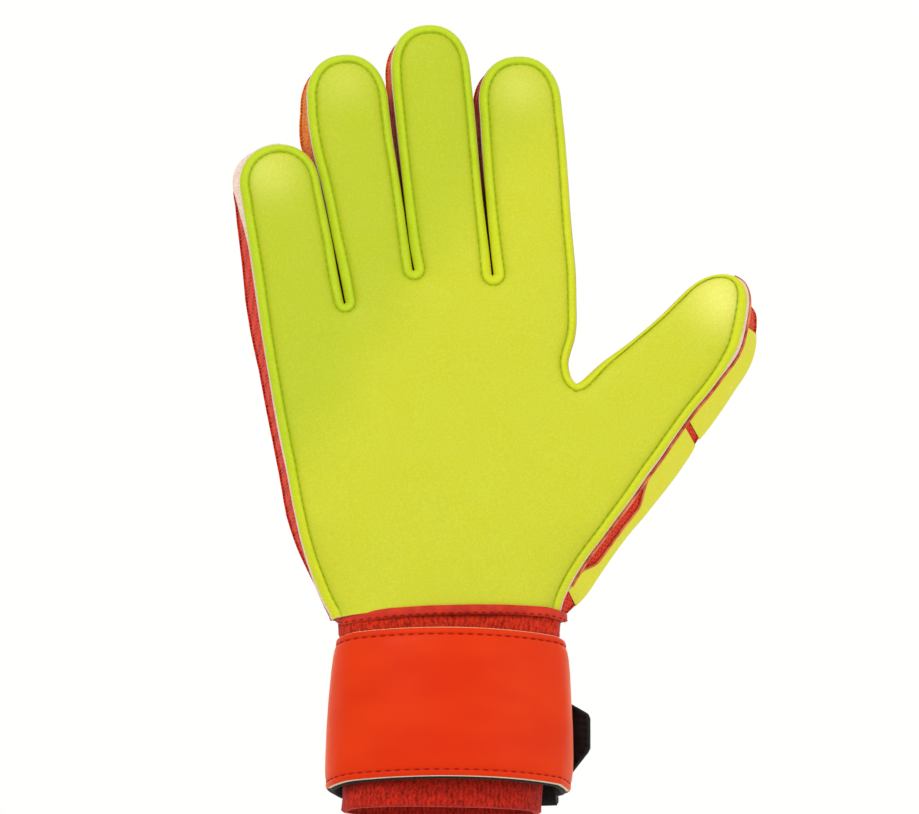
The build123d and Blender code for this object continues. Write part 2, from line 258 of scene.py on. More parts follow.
def make_mesh_cloth(name, light, dark, hole):
    """Open knitted mesh: rows of small holes between raised threads."""
    f = Finish(name, Roughness=0.8, Specular_IOR_Level=0.15, Sheen_Weight=0.06, Sheen_Roughness=0.4)
    tint = f.attribute("tint")
    holes = f.cells(1.25, "F1", spread=0.25)
    ground = f.remap(holes, 0.2, 0.42)
    warm = f.mix(tint, light, rgb(232, 144, 10))
    deep = f.mix(tint, dark, rgb(206, 92, 4))
    tone = f.mix(f.remap(f.noise(0.9, 3.0, 0.7), 0.35, 0.65), deep, warm)
    f.use("Base Color", f.mix(ground, f.mix(tint, hole, rgb(190, 74, 4)), tone))
    f.use("Normal", f.bump(ground, 0.35, 0.9, f.bump(f.noise(0.3, 2.0), 0.1, 0.8)))
    return f.material


def make_knit(name, light, dark):
    """Rough elastic knit: ribs across it, with short loose fibres."""
    f = Finish(name, Roughness=0.9, Specular_IOR_Level=0.12, Sheen_Weight=0.06, Sheen_Roughness=0.5)
    wander = f.math("MULTIPLY_ADD", f.noise(3.0, 3.0), 3.0, f.attribute("around"))
    ribs = f.math("SINE", f.math("MULTIPLY", wander, 2 * math.pi / 1.6))
    lumps = f.noise(1.5, 4.0, 0.8, f.stretched(1.0, 1.0, 0.7))
    fuzz = f.noise(0.5, 3.0, 0.75)
    ribbed = f.math("MULTIPLY_ADD", ribs, 0.045, f.math("MULTIPLY", lumps, 0.8))
    height = f.math("ADD", ribbed, f.math("MULTIPLY", fuzz, 0.4))
    f.use("Base Color", f.mix(f.remap(height, 0.38, 0.78), dark, light))
    f.use("Normal", f.bump(height, 0.7, 0.8))
    return f.material


def make_tape(name, light, dark):
    """Smooth woven tape with a fine rib."""
    f = Finish(name, Roughness=0.55, Specular_IOR_Level=0.2, Sheen_Weight=0.06)
    ribs = f.math("SINE", f.math("MULTIPLY", f.attribute("around"), 2 * math.pi / 0.9))
    f.use("Base Color", f.mix(f.remap(f.noise(5, 3.0), 0.3, 0.7), dark, light))
    weave = f.bump(f.noise(0.6, 2.0), 0.1, 0.6)
    f.use("Normal", f.bump(f.math("MULTIPLY_ADD", ribs, 0.5, 0.5), 0.12, 0.6, weave))
    return f.material


def make_coated(name, main, deep):
    """Smooth coated fabric over foam: soft gloss, a fine grain and broad shallow creases."""
    f = Finish(name, Roughness=0.45, Specular_IOR_Level=0.07, Sheen_Weight=0.6, Sheen_Roughness=0.4)
    f.shader.inputs["Sheen Tint"].default_value = rgb(255, 170, 120)
    broad = f.noise(26, 2.0, 0.5, f.stretched(0.6, 0.6, 1.5))
    f.use("Base Color", f.mix(f.remap(broad, 0.32, 0.7), deep, main))
    grain = f.bump(f.cells(0.5), 0.03, 0.5)
    creases = f.noise(11, 2.0, 0.5, f.stretched(0.35, 0.35, 1.6))
    f.use("Normal", f.bump(creases, 0.35, 0.35, grain))
    f.use("Roughness", f.remap(f.noise(7, 3.0), 0.3, 0.7, 0.36, 0.5))
    return f.material


def make_foam(name, light, dark, painted_shade):
    """Cut foam: open pores on a light ground, and a dark brown mixed in by the around attribute, which is painted
    shade down in the slits between the fingers.
    """
    f = Finish(name, Roughness=0.9, Specular_IOR_Level=0.1)
    pores = f.cells(0.45)
    tone = f.mix(f.remap(pores, 0.1, 0.5), dark, light)
    # Painted shade: the around attribute mixes in the dark brown.
    f.use("Base Color", f.mix(f.attribute("around"), tone, painted_shade))
    f.use("Normal", f.bump(pores, 0.2, 0.8, f.bump(f.noise(1.5, 3.0), 0.3, 0.6)))
    return f.material


def make_lining(name, light, dark):
    """Brushed lining cloth with a short nap."""
    f = Finish(name, Roughness=0.85, Specular_IOR_Level=0.2, Sheen_Weight=0.08, Sheen_Roughness=0.5)
    nap = f.noise(0.6, 4.0, 0.7)
    f.use("Base Color", f.mix(f.remap(nap, 0.35, 0.65), dark, light))
    f.use("Normal", f.bump(nap, 0.25, 0.8))
    return f.material


def make_grip(name, light, dark, size, depth):
    """Hook or loop tape: a close field of small tufts."""
    f = Finish(name, Roughness=0.8, Sheen_Weight=0.12)
    tufts = f.cells(size, "F1", spread=0.7)
    f.use("Base Color", f.mix(f.remap(tufts, 0.1, 0.6), light, dark))
    f.use("Normal", f.bump(f.math("SUBTRACT", 1.0, tufts), depth, 0.9))
    return f.material


def make_rubber(name, light, dark):
    """Moulded rubber: fine texture and a soft shine."""
    f = Finish(name, Roughness=0.5, Specular_IOR_Level=0.2)
    f.use("Base Color", f.mix(f.remap(f.noise(4, 3.0), 0.3, 0.7), dark, light))
    f.use("Normal", f.bump(f.cells(0.4), 0.05, 0.6, f.bump(f.noise(1.2, 2.0), 0.05, 0.5)))
    f.use("Roughness", f.remap(f.noise(3, 2.0), 0.3, 0.7, 0.4, 0.55))
    return f.material


def make_thread(name, colour, shade):
    """Twisted sewing thread."""
    f = Finish(name, Roughness=0.7, Specular_IOR_Level=0.1)
    twist = f.noise(0.35, 2.0, 0.5)
    f.use("Base Color", f.mix(f.remap(twist, 0.3, 0.7), shade, colour))
    f.use("Normal", f.bump(twist, 0.08, 0.8))
    return f.material


def make_materials():
    # The second colour of each set is painted light, paler lower down and towards the thumb side; the last is the
    # seam line, partly painted shade in its groove.
    lime, painted_light, hem, seam = rgb(168, 180, 22), rgb(184, 188, 30), rgb(170, 190, 8), rgb(144, 166, 6)
    pad = rgb(194, 197, 24), rgb(205, 203, 36), rgb(196, 200, 24), rgb(150, 158, 14)
    foam, foam_pores = rgb(214, 200, 172), rgb(160, 146, 120)
    # The last colour is the dark brown of painted shade in the slits.
    cut, cut_pores, painted_shade = rgb(216, 196, 182), rgb(184, 150, 132), rgb(96, 40, 12)
    return {
        "latex": make_latex("latex", lime, painted_light, hem, seam),
        "foam_pad": make_latex("foam_pad", *pad),
        "mesh": make_mesh_cloth("mesh", rgb(220, 58, 18), rgb(188, 30, 8), rgb(120, 14, 6)),
        "knit": make_knit("knit", rgb(214, 50, 18), rgb(118, 14, 6)),
        # A darker copy of the knit for the inner cuff: painted shade under the strap.
        "cuff_knit_painted_shade": make_knit("cuff_knit_painted_shade", rgb(198, 38, 18), rgb(98, 10, 5)),
        "binding": make_tape("binding", rgb(190, 42, 10), rgb(166, 26, 6)),
        "strap": make_coated("strap", rgb(204, 48, 2), rgb(197, 40, 1)),
        "strap_foam": make_foam("strap_foam", foam, foam_pores, foam),
        "foam_edge": make_foam("foam_edge", cut, cut_pores, painted_shade),
        "lining": make_lining("lining", rgb(24, 20, 18), rgb(9, 8, 7)),
        "loop": make_grip("loop", rgb(34, 32, 31), rgb(10, 9, 9), 0.9, 0.5),
        "hook": make_grip("hook", rgb(42, 40, 40), rgb(8, 8, 8), 0.7, 0.6),
        "tab": make_rubber("tab", rgb(10, 9, 10), rgb(4, 4, 4)),
        "lime_thread": make_thread("lime_thread", rgb(150, 174, 8), rgb(128, 152, 6)),
        "red_thread": make_thread("red_thread", rgb(178, 22, 6), rgb(116, 9, 3)),
        "piping": make_tape("piping", rgb(222, 126, 80), rgb(172, 62, 34)),
    }


MATERIAL = make_materials()


# ---------------------------------------------------------------- meshes
class Builder:
    """The points and faces of one piece, with a normal at every face corner."""

    def __init__(self):
        self.points = np.zeros((0, 3))
        self.values = {"edge": np.zeros(0), "tint": np.zeros(0), "around": np.zeros(0)}
        self.groups = []

    def add_points(self, points, **values):
        """Adds points and returns the index of the first one."""
        first = len(self.points)
        points = np.asarray(points, float).reshape(-1, 3)
        self.points = np.vstack([self.points, points])
        for key in self.values:
            given = np.broadcast_to(np.asarray(values.get(key, 0.0), float), (len(points),))
            self.values[key] = np.concatenate([self.values[key], given])
        return first

    def add_faces(self, faces, material, normals=None):
        """Faces by point index; normals are per point of the whole piece, or None for flat faces."""
        faces = np.asarray(faces, int)
        if not len(faces):
            return
        if normals is None:
            p = self.points[faces]
            flat = unit(np.cross(p[:, 1] - p[:, 0], p[:, 2] - p[:, 0]))
            corner = np.repeat(flat[:, None, :], faces.shape[1], axis=1)
        else:
            corner = normals[faces]
        self.groups.append((faces, material, corner))

    def add_slab(self, faces, sides, normals, materials, values):
        """A flat piece: two sides over the same triangles, and the walls between their rims.

        sides, normals and values are given for the outer side and then the inner one, and materials for the
        outer side, the inner one and the walls."""
        count = len(sides[0])
        for side, value in zip(sides, values):
            self.add_points(side, **value)
        every = np.vstack([np.broadcast_to(normal, (count, 3)) for normal in normals])
        self.add_faces(faces, materials[0], every)
        self.add_faces(faces[:, ::-1] + count, materials[1], every)
        rim = rim_of(faces)
        walls = np.stack([rim[:, 1], rim[:, 0], rim[:, 0] + count, rim[:, 1] + count], 1)
        self.add_faces(walls, materials[2])

    def build(self, name):
        faces, material_index, corners, slots = [], [], [], []
        for group, material, corner in self.groups:
            if material not in slots:
                slots.append(material)
            faces += group.tolist()
            material_index += [slots.index(material)] * len(group)
            corners.append(corner.reshape(-1, 3))
        mesh = bpy.data.meshes.new(name)
        mesh.from_pydata((self.points * MM).tolist(), [], faces)
        for slot in slots:
            mesh.materials.append(MATERIAL[slot])
        mesh.polygons.foreach_set("material_index", material_index)
        mesh.polygons.foreach_set("use_smooth", [True] * len(faces))
        rest = mesh.attributes.new("rest", "FLOAT_VECTOR", "POINT")
        rest.data.foreach_set("vector", self.points.astype(np.float32).ravel())
        for key, value in self.values.items():
            attribute = mesh.attributes.new(key, "FLOAT", "POINT")
            attribute.data.foreach_set("value", value.astype(np.float32))
        mesh.normals_split_custom_set(np.vstack(corners).tolist())
        mesh.update()
        piece = bpy.data.objects.new(name, mesh)
        bpy.context.scene.collection.objects.link(piece)
        return piece


def point_normals(points, triangles):
    """Smooth normals of a triangle mesh, weighted by face size."""
    p = points[triangles]
    face = np.cross(p[:, 1] - p[:, 0], p[:, 2] - p[:, 0])
    normals = np.zeros_like(points)
    for k in range(triangles.shape[1]):
        np.add.at(normals, triangles[:, k], face)
    return unit(normals)


def facing(points, triangles, way):
    """The triangles, turned so that most of them face that way, and their points' smooth normals."""
    normals = point_normals(points, triangles)
    if (normals @ np.asarray(way, float)).mean() < 0:
        return triangles[:, ::-1], -normals
    return triangles, normals


def at_depth(points, y):
    """Points in glove X and Z, put at depth y."""
    return np.stack([points[:, 0], np.broadcast_to(y, len(points)), points[:, 1]], 1)


def distance_along(line):
    """How far along a polyline each of its points is."""
    return np.concatenate([[0], np.cumsum(np.linalg.norm(np.diff(line, axis=0), axis=1))])


def all_round(across, other, sides):
    """Directions all round each point of a line, from two that cross it."""
    turn = np.arange(sides) * 2 * np.pi / sides
    return across[:, None] * np.cos(turn)[None, :, None] + other[:, None] * np.sin(turn)[None, :, None]


def curve_through(points, step):
    """Points about step apart on a smooth curve through the given ones."""
    p = np.asarray(points, float)
    run = np.linalg.norm(np.diff(p, axis=0), axis=1)
    slope = np.zeros_like(p)
    slope[1:-1] = (p[2:] - p[:-2]) / (run[1:] + run[:-1])[:, None]
    slope[0] = (p[1] - p[0]) / run[0]
    slope[-1] = (p[-1] - p[-2]) / run[-1]
    made = []
    for i, length in enumerate(run):
        count = max(1, int(round(length / step)))
        t = (np.arange(count) / count)[:, None]
        a, b = slope[i] * length, slope[i + 1] * length
        made.append(
            (2 * t**3 - 3 * t**2 + 1) * p[i]
            + (t**3 - 2 * t**2 + t) * a
            + (3 * t**2 - 2 * t**3) * p[i + 1]
            + (t**3 - t**2) * b
        )
    return np.vstack([*made, p[-1:]])


def nearest(points, line, closed=True):
    """Distance of each point from a polyline, and the index of the nearest of its points."""
    start = line
    end = np.roll(line, -1, axis=0)
    if not closed:
        start, end = line[:-1], line[1:]
    run = end - start
    square = np.maximum((run**2).sum(1), 1e-12)
    distance, index = np.zeros(len(points)), np.zeros(len(points), int)
    for low in range(0, len(points), 1500):
        chunk = points[low : low + 1500]
        t = ((chunk[:, None, :] - start[None]) * run[None]).sum(2) / square
        t = np.clip(t, 0, 1)
        gap = chunk[:, None, :] - start[None] - t[..., None] * run[None]
        far = (gap**2).sum(2)
        best = far.argmin(1)
        distance[low : low + 1500] = np.sqrt(far[np.arange(len(chunk)), best])
        step = t[np.arange(len(chunk)), best] > 0.5
        index[low : low + 1500] = (best + step) % len(line)
    return distance, index


def inward_of(line):
    """Unit normals of a closed clockwise loop, pointing into it."""
    along = unit(np.roll(line, -1, axis=0) - np.roll(line, 1, axis=0))
    return np.stack([along[:, 1], -along[:, 0]], axis=1)


def inside(points, loop):
    """Which points are inside a closed loop."""
    x, y = points[:, 0][:, None], points[:, 1][:, None]
    x1, y1 = loop[:, 0][None], loop[:, 1][None]
    x2, y2 = np.roll(loop[:, 0], -1)[None], np.roll(loop[:, 1], -1)[None]
    result = np.zeros(len(points), int)
    for low in range(0, len(points), 4000):
        s = slice(low, low + 4000)
        crosses = (y1 > y[s]) != (y2 > y[s])
        at = (x2 - x1) * (y[s] - y1) / np.where(y2 == y1, 1e-9, y2 - y1) + x1
        result[s] = (crosses & (x[s] < at)).sum(1)
    return result % 2 == 1


def fill(loop, rows, cell):
    """Points and triangles that fill a closed clockwise loop: rows along its edge, then an even field.

    rows are arrays of distances in from the loop, one value per point of the loop. The field's points are
    cell apart."""
    normals = inward_of(loop)
    parts = [loop]
    for row in rows:
        candidate = loop + normals * np.asarray(row)[:, None]
        keep = nearest(candidate, loop)[0] > np.asarray(row) - 0.04
        keep &= inside(candidate, loop)
        parts.append(candidate[keep])
    low, high = loop.min(0), loop.max(0)
    xs = np.arange(low[0], high[0], cell)
    zs = np.arange(low[1], high[1], cell * 0.866)
    grid = np.array([(x + (j % 2) * cell / 2, z) for j, z in enumerate(zs) for x in xs])
    grid = grid[inside(grid, loop)]
    deepest = max(float(np.max(row)) for row in rows)
    grid = grid[nearest(grid, loop)[0] > deepest + 0.5 * cell]
    parts.append(grid)
    points = np.vstack(parts)
    count = len(loop)
    edges = [(i, (i + 1) % count) for i in range(count)]
    made, _, triangles, _, _, _ = delaunay_2d_cdt([Vector(p) for p in points], edges, [], 1, 1e-4)
    made = np.array([tuple(p) for p in made])
    triangles = np.array([t[:3] for t in triangles])
    a, b, c = made[triangles[:, 0]], made[triangles[:, 1]], made[triangles[:, 2]]
    area = (b[:, 0] - a[:, 0]) * (c[:, 1] - a[:, 1]) - (b[:, 1] - a[:, 1]) * (c[:, 0] - a[:, 0])
    triangles[area < 0] = triangles[area < 0][:, ::-1]
    return made, triangles[np.abs(area) > 1e-7]


def rim_of(triangles):
    """The directed edges of a set of triangles that have no neighbour."""
    edges = np.vstack([triangles[:, [0, 1]], triangles[:, [1, 2]], triangles[:, [2, 0]]])
    known = set(map(tuple, edges.tolist()))
    return np.array([e for e in edges.tolist() if (e[1], e[0]) not in known], int).reshape(-1, 2)


STITCH_STATIONS = np.array([0.0, 0.12, 0.35, 0.65, 0.88, 1.0])
STITCH_WIDTHS = np.array([0.25, 0.8, 1.0, 1.0, 0.8, 0.25])
STITCH_RISE = np.array([-0.5, 0.2, 0.6, 0.6, 0.2, -0.5])
STITCH_SIDES = 6


def stitch_shells(line, normals, length, gap, radius, lift):
    """Short rounded stitches laid end to end along a line: each one's centres, rings and directions."""
    line, normals = np.asarray(line, float), unit(normals)
    at = distance_along(line)
    widths = STITCH_WIDTHS * radius
    rise = STITCH_RISE * radius + lift
    shells = []
    start = 0.5 * gap
    while start + length < at[-1]:
        where = start + STITCH_STATIONS * length
        centre = np.stack([np.interp(where, at, line[:, k]) for k in range(3)], 1)
        out = unit(np.stack([np.interp(where, at, normals[:, k]) for k in range(3)], 1))
        along = unit(centre[-1] - centre[0])
        across = unit(np.cross(out, along))
        centre = centre + out * rise[:, None]
        ring = all_round(across, out, STITCH_SIDES)
        shells.append((centre, centre[:, None, :] + ring * widths[:, None, None], ring))
        start += length + gap
    return shells


def add_stitches(builder, shells, material, **values):
    """Adds each stitch to a piece as a small closed shell."""
    for _, rings, ring in shells:
        count, sides = rings.shape[:2]
        first = builder.add_points(rings.reshape(-1, 3), **values)
        normals = np.zeros((len(builder.points), 3))
        normals[first:] = ring.reshape(-1, 3)
        i, j = np.divmod(np.arange((count - 1) * sides), sides)
        here, k = first + i * sides, (j + 1) % sides
        following = here + sides
        builder.add_faces(np.stack([here + j, here + k, following + k, following + j], 1), material, normals)
        start = first + np.arange(sides)
        builder.add_faces([start[::-1], start + (count - 1) * sides], material)


# ---------------------------------------------------------------- fingers
JOINT = {joint["name"]: joint for joint in frame["joints"]}
HAND_NAMES = ("pinky", "ring", "middle", "index", "thumb")


class Finger:
    """A finger's own frame: across it and along it, from its base hinge."""

    def __init__(self, name, length, cut, part, left, tip, right):
        base, middle = JOINT[f"{name}_base"], JOINT[f"{name}_middle"]
        self.name = name
        self.hinge = np.array(base["pos_m"], float)[[0, 2]] / MM
        self.pivot_y = base["pos_m"][1] / MM
        self.across = np.array(base["axis"], float)[[0, 2]]
        self.along = np.array([-self.across[1], self.across[0]])
        self.middle = float((np.array(middle["pos_m"], float)[[0, 2]] / MM - self.hinge) @ self.along)
        self.length = length
        self.cut = cut  # along the finger, where its base piece starts
        self.part = part  # where its tip piece starts
        self.left, self.tip, self.right = left, tip, right
        if name != "thumb":
            self.left, self.tip, self.right = self.out(left), self.out(tip), self.out(right)

    def out(self, points):
        """Glove X and Z of points given across and along the finger."""
        points = np.asarray(points, float).reshape(-1, 2)
        return self.hinge + points[:, :1] * self.across + points[:, 1:] * self.along

    def local(self, points):
        d = np.asarray(points, float).reshape(-1, 2) - self.hinge
        return np.stack([d @ self.across, d @ self.along], axis=1)


def tip_arc(centre, half, start, length, power, count=26):
    """A slightly squared fingertip, from its left shoulder to its right one."""
    turn = np.linspace(180, 0, count)
    c, s = cos(turn), sin(turn)
    across = centre + half * np.sign(c) * np.abs(c) ** (2 / power)
    along = start + (length - start) * np.abs(s) ** (2 / power)
    return list(zip(across, along))


# Sides run outwards on the left and inwards on the right: (across, along) the finger, but glove X and Z
# for the thumb.
FINGERS = {
    "pinky": Finger(
        "pinky", 48.5, -9.0, 11.2,
        [(-15.9, -23.5), (-15.4, -11.5), (-14.8, 0), (-14.4, 12), (-14.1, 24), (-13.8, 31)],
        tip_arc(0.95, 14.75, 33.0, 48.4, 2.1),
        [(15.7, 29), (15.9, 19), (16.0, 9), (15.8, -3)],
    ),
    "ring": Finger(
        "ring", 71.3, -8.0, 17.0,
        [(-12.0, -6), (-12.9, 6), (-13.6, 19), (-14.3, 27), (-15.3, 35), (-15.9, 44), (-15.8, 53)],
        tip_arc(-0.6, 14.9, 54.8, 72.6, 2.2),
        [(14.2, 52), (14.1, 40), (14.5, 28), (14.8, 15), (14.9, 3)],
    ),
    "middle": Finger(
        "middle", 80.5, -7.5, 19.0,
        [(-13.8, 0), (-14.1, 12), (-14.3, 25), (-14.4, 40), (-14.5, 55), (-14.5, 62)],
        tip_arc(0.2, 14.5, 64.5, 82.2, 2.25),
        [(14.7, 61), (14.8, 50), (14.7, 36), (14.7, 22), (15.0, 8), (15.3, -3)],
    ),
    "index": Finger(
        "index", 70.1, -7.5, 17.0,
        [(-15.2, 0), (-15.3, 12), (-15.2, 26), (-14.9, 40), (-14.6, 52)],
        tip_arc(0.6, 15.2, 54.0, 72.2, 2.25),
        [(15.8, 52), (16.0, 40), (15.8, 26), (15.5, 12), (15.5, 0), (15.5, -9)],
    ),
    "thumb": Finger(
        "thumb", 60.0, -9.0, 15.0,
        [(50.6, 161.0), (56.6, 166.6), (65.2, 173.1), (72.5, 179.2), (79.3, 185.3), (85.2, 191.3)],
        [(90.6, 196.4), (96.2, 199.6), (102.0, 200.7), (106.0, 199.9), (108.9, 197.6), (110.5, 194.0)],
        [
            (110.7, 190.0), (110.0, 185.0), (108.9, 179.6), (107.2, 173.6), (104.2, 168.0), (100.2, 162.0),
            (95.8, 156.0), (90.9, 150.0), (86.4, 143.9), (82.2, 138.0), (78.0, 131.9),
        ],
    ),
}

# The rest of the palm's outline, in glove X and Z, clockwise from the wrist.
PINKY_SIDE = [
    (-42.1, 70.3), (-43.2, 72.8), (-45.4, 77.0), (-50.1, 88.1), (-54.3, 100), (-57.1, 111.7), (-59.3, 123.6),
    (-61.7, 135.4), (-64.0, 147.3), (-66.1, 159.1),
]
INDEX_SIDE = [(47.2, 188.5), (47.2, 180), (46.4, 174.5), (45.1, 170.3), (44.2, 166.3), (44.7, 162.6)]
WEB = [(45.7, 160.1), (47.2, 158.6), (48.9, 159.5)]
THUMB_SIDE = [
    (73.6, 125.9), (69.6, 120), (65.4, 113.9), (61.0, 107.9), (56.6, 101.8), (52.0, 95.7), (48.0, 89.6),
    (44.6, 83.4), (42.4, 78.2), (41.3, 73.2),
]
# The wrist binding's upper edge in front, where the palm ends.
WRIST_EDGE = [
    (-44, 71.4), (-41, 71.7), (-34, 72.4), (-22, 73.8), (-8, 74.9), (8, 75.6), (20, 75.8), (36, 75.6),
    (40, 75.0), (43, 74.4),
]
TUCKED_UNDER = 0.8  # the palm goes this far below the binding's upper edge
SLIT_ENDS = [(-38.5, 186.7), (-13.1, 199.6), (16.2, 198.5)]
SLIT_HEMS = [(0.5, -0.4), (0.35, -0.1), (0.6, 0.2)]  # added to the hem's width near each slit, and at its end
SLIT_RADIUS = 0.32
STEP = 1.0
BOTTOM_POINTS = 60


def slit_turn(centre, leaning):
    """The end of a slit between two fingers: down its left side, round, and up."""
    turn = np.linspace(180, 360, 9)
    x, z = SLIT_RADIUS * cos(turn), SLIT_RADIUS * sin(turn)
    c, s = cos(leaning), sin(leaning)
    return [(centre[0] + u * c - v * s, centre[1] + u * s + v * c) for u, v in zip(x, z)]


def make_outline():
    """The palm's outline, clockwise as the palm is seen, the number of the finger that each point is on, and
    the index where the bottom edge starts."""
    sections, owners = [], []
    start = list(PINKY_SIDE)
    for k, name in enumerate(HAND_NAMES):
        finger = FINGERS[name]
        left = start + [tuple(p) for p in finger.left]
        tip = [tuple(p) for p in finger.tip]
        right = [tuple(p) for p in finger.right]
        if k < 3:
            turn = slit_turn(SLIT_ENDS[k], 12 - 2.5 * k)
            sections.append((left + tip + right + [turn[0]], STEP))
            sections.append((turn, SLIT_RADIUS / 3))
            owners += [k, k]
            start = [turn[-1]]
        elif name == "index":
            sections.append((left + tip + right + INDEX_SIDE + [WEB[0], WEB[1]], STEP))
            start = [WEB[1], WEB[2]]
            owners.append(k)
        else:
            sections.append((left + tip + right + THUMB_SIDE, STEP))
            owners.append(k)
    lines = [curve_through(points, step)[:-1] for points, step in sections]
    line = np.vstack(lines)
    owner = np.repeat(owners, [len(part) for part in lines])
    bottom_from = len(line)
    first, last = np.array(PINKY_SIDE[0]), np.array(THUMB_SIDE[-1])
    t = (np.arange(BOTTOM_POINTS) / BOTTOM_POINTS)[:, None]
    bottom = last + (first - last) * t
    bottom[1:, 1] = np.interp(bottom[1:, 0], *np.transpose(WRIST_EDGE)) - TUCKED_UNDER
    owner = np.concatenate([owner, np.full(BOTTOM_POINTS, -1)])
    return np.vstack([line, bottom]), owner, bottom_from


OUTLINE, OWNER, BOTTOM_FROM = make_outline()
ALONG = distance_along(OUTLINE)
INWARD = inward_of(OUTLINE)
SEAMED = np.arange(len(OUTLINE)) < BOTTOM_FROM


def finger_of(points):
    """For each point, the number of the finger it is on, or -1 on the hand, and how far along it is."""
    points = np.asarray(points, float).reshape(-1, 2)
    which = OWNER[nearest(points, OUTLINE)[1]]
    along = np.full(len(points), -99.0)
    for k, name in enumerate(HAND_NAMES):
        on = which == k
        along[on] = FINGERS[name].local(points[on])[:, 1]
        which = np.where(on & (along <= FINGERS[name].cut), -1, which)
    return which, along


def segment_of(points):
    """For each point, 0 on the hand, 1 to 5 on a finger's base piece and 6 to 10 on its tip piece."""
    which, along = finger_of(points)
    part = np.array([FINGERS[n].part for n in HAND_NAMES])
    return np.where(which < 0, 0, which + 1 + 5 * (along > part[which]))


def segment_name(number):
    if number == 0:
        return "hand"
    return HAND_NAMES[(number - 1) % 5] + ("_base" if number <= 5 else "_tip")


def node_of(number, kind):
    """The CAD node of that kind on a part of a finger."""
    half = "proximal" if number <= 5 else "distal"
    return f"{HAND_NAMES[(number - 1) % 5]}_{half}_{kind}"


# How far a bend would reach along the finger: past its base hinge, and to both sides of its middle hinge;
# move_with works out these reaches but makes no bend from them.
BASE_BEND_END = 9.5
TIP_BEND = 8.5


def move_with(piece, number):
    """The piece rides on the hand, or, on a finger, is baked in place where it stands."""
    if number == 0:
        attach(piece, "hand")
        return
    finger = FINGERS[HAND_NAMES[(number - 1) % 5]]
    if number <= 5:
        bodies, low, high = ("hand", f"{finger.name}_proximal"), finger.cut + 0.6, BASE_BEND_END
    else:
        bodies = (f"{finger.name}_proximal", f"{finger.name}_distal")
        low, high = finger.middle - TIP_BEND, finger.middle + TIP_BEND
    start, end = at_depth(finger.out([(0, low), (0, high)]), finger.pivot_y) * MM
    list(bodies)
    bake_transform(piece)


def hem_widths():
    """The hem's width at each point of the outline: wider by the slits, narrower in the thumb's web."""
    width = np.full(len(OUTLINE), 3.2)
    for end, (beside, at_end) in zip(SLIT_ENDS, SLIT_HEMS):
        far = np.linalg.norm(OUTLINE - np.array(end), axis=1)
        width += beside * np.exp(-((far / 26) ** 2)) + at_end * np.exp(-((far / 3.0) ** 2))
    which = finger_of(OUTLINE)[0]
    local = FINGERS["thumb"].local(OUTLINE)
    on = OWNER == 4
    width[on] -= 2.0 * (1 - smooth(local[on, 0], -13, -3)) * smooth(local[on, 1], -12, 18)
    outer = (which == 4) & (local[:, 1] > -6) & (local[:, 0] > -4)
    width[outer] += 0.8 * smooth(local[outer, 1], 30, 44)
    kernel = np.hanning(25)
    kernel /= kernel.sum()
    return np.convolve(np.r_[width[-12:], width, width[:12]], kernel, "valid")


HEM_WIDTH = hem_widths()

# The backhand's outline on the thumb side, from the tip down to the wrist.
THUMB_BACK = [
    (108.2, 200.6), (112.4, 198.2), (115.2, 194.0), (116.9, 188.4), (116.8, 182.4), (115.4, 173.4), (112.6, 167.0),
    (108.4, 160.6), (103.9, 153.7), (99.4, 147.4), (95.0, 141.6), (90.6, 134.6), (84.4, 125.7), (75.5, 114.4),
    (67.4, 104.6), (58.9, 92.6), (53.3, 83.9), (47.6, 77.4), (43.0, 73.2),
]
# How far the backhand overhangs the palm on the little-finger side, by height, and where that side ends.
OVERHANG = [
    (70, -1.4), (84, -1.5), (97, -0.2), (110, 0.8), (137, 0.6), (164, 1.0), (177, 1.8), (190, 2.1), (204, 1.3),
    (226, 0.3),
]
OVERHANG_END = 165


def back_outline():
    """The backhand's outline: the palm's, but wider on the little-finger and thumb sides."""
    out = np.full(len(OUTLINE), 0.1)
    which = finger_of(OUTLINE)[0]
    left = (ALONG < OVERHANG_END) & SEAMED
    out[left] = np.interp(OUTLINE[left, 1], *np.transpose(OVERHANG)) + 0.1
    ring = FINGERS["ring"].local(OUTLINE)
    upper = (which == 1) & (ring[:, 0] < -8)
    out[upper] += 1.5 * np.exp(-(((ring[upper, 1] - 45) / 10) ** 2))
    pinky = FINGERS["pinky"].local(OUTLINE)
    inner = which == 0
    out[inner] -= smooth(pinky[inner, 0], 2, 10) * (0.8 + 0.8 * smooth(pinky[inner, 1], 10, 32))
    line = OUTLINE - INWARD * out[:, None]
    target = curve_through(THUMB_BACK, STEP)
    local = FINGERS["thumb"].local(OUTLINE)
    first = int(np.argmax((which == 4) & (local[:, 0] > -6) & (local[:, 1] > 50)))
    count = BOTTOM_FROM - first
    at = distance_along(target)
    close = np.maximum.accumulate(at[nearest(OUTLINE[first:BOTTOM_FROM], target, closed=False)[1]])
    close = close + np.linspace(0, 0.5, count)
    kernel = np.hanning(31) / np.hanning(31).sum()
    before, after = 2 * close[0] - close[15:0:-1], 2 * close[-1] - close[-2:-17:-1]
    place = np.convolve(np.r_[before, close, after], kernel, "valid")
    moved = np.stack([np.interp(place, at, target[:, k]) for k in range(2)], 1)
    ease = smooth(np.arange(count), 0, 12)[:, None]
    line[first:BOTTOM_FROM] = OUTLINE[first:BOTTOM_FROM] * (1 - ease) + moved * ease
    t = (np.arange(BOTTOM_POINTS) / BOTTOM_POINTS)[:, None]
    line[BOTTOM_FROM:] = line[BOTTOM_FROM - 1] + (line[0] - line[BOTTOM_FROM - 1]) * t
    return line


BACK = back_outline()

# ---------------------------------------------------------------- palm
TO_PALM, TO_BACK = (0, -1.0, 0), (0, 1.0, 0)
LATEX_FRONT = -14.2
HEM_EDGE = -9.6
PALM_BACK = -8.0
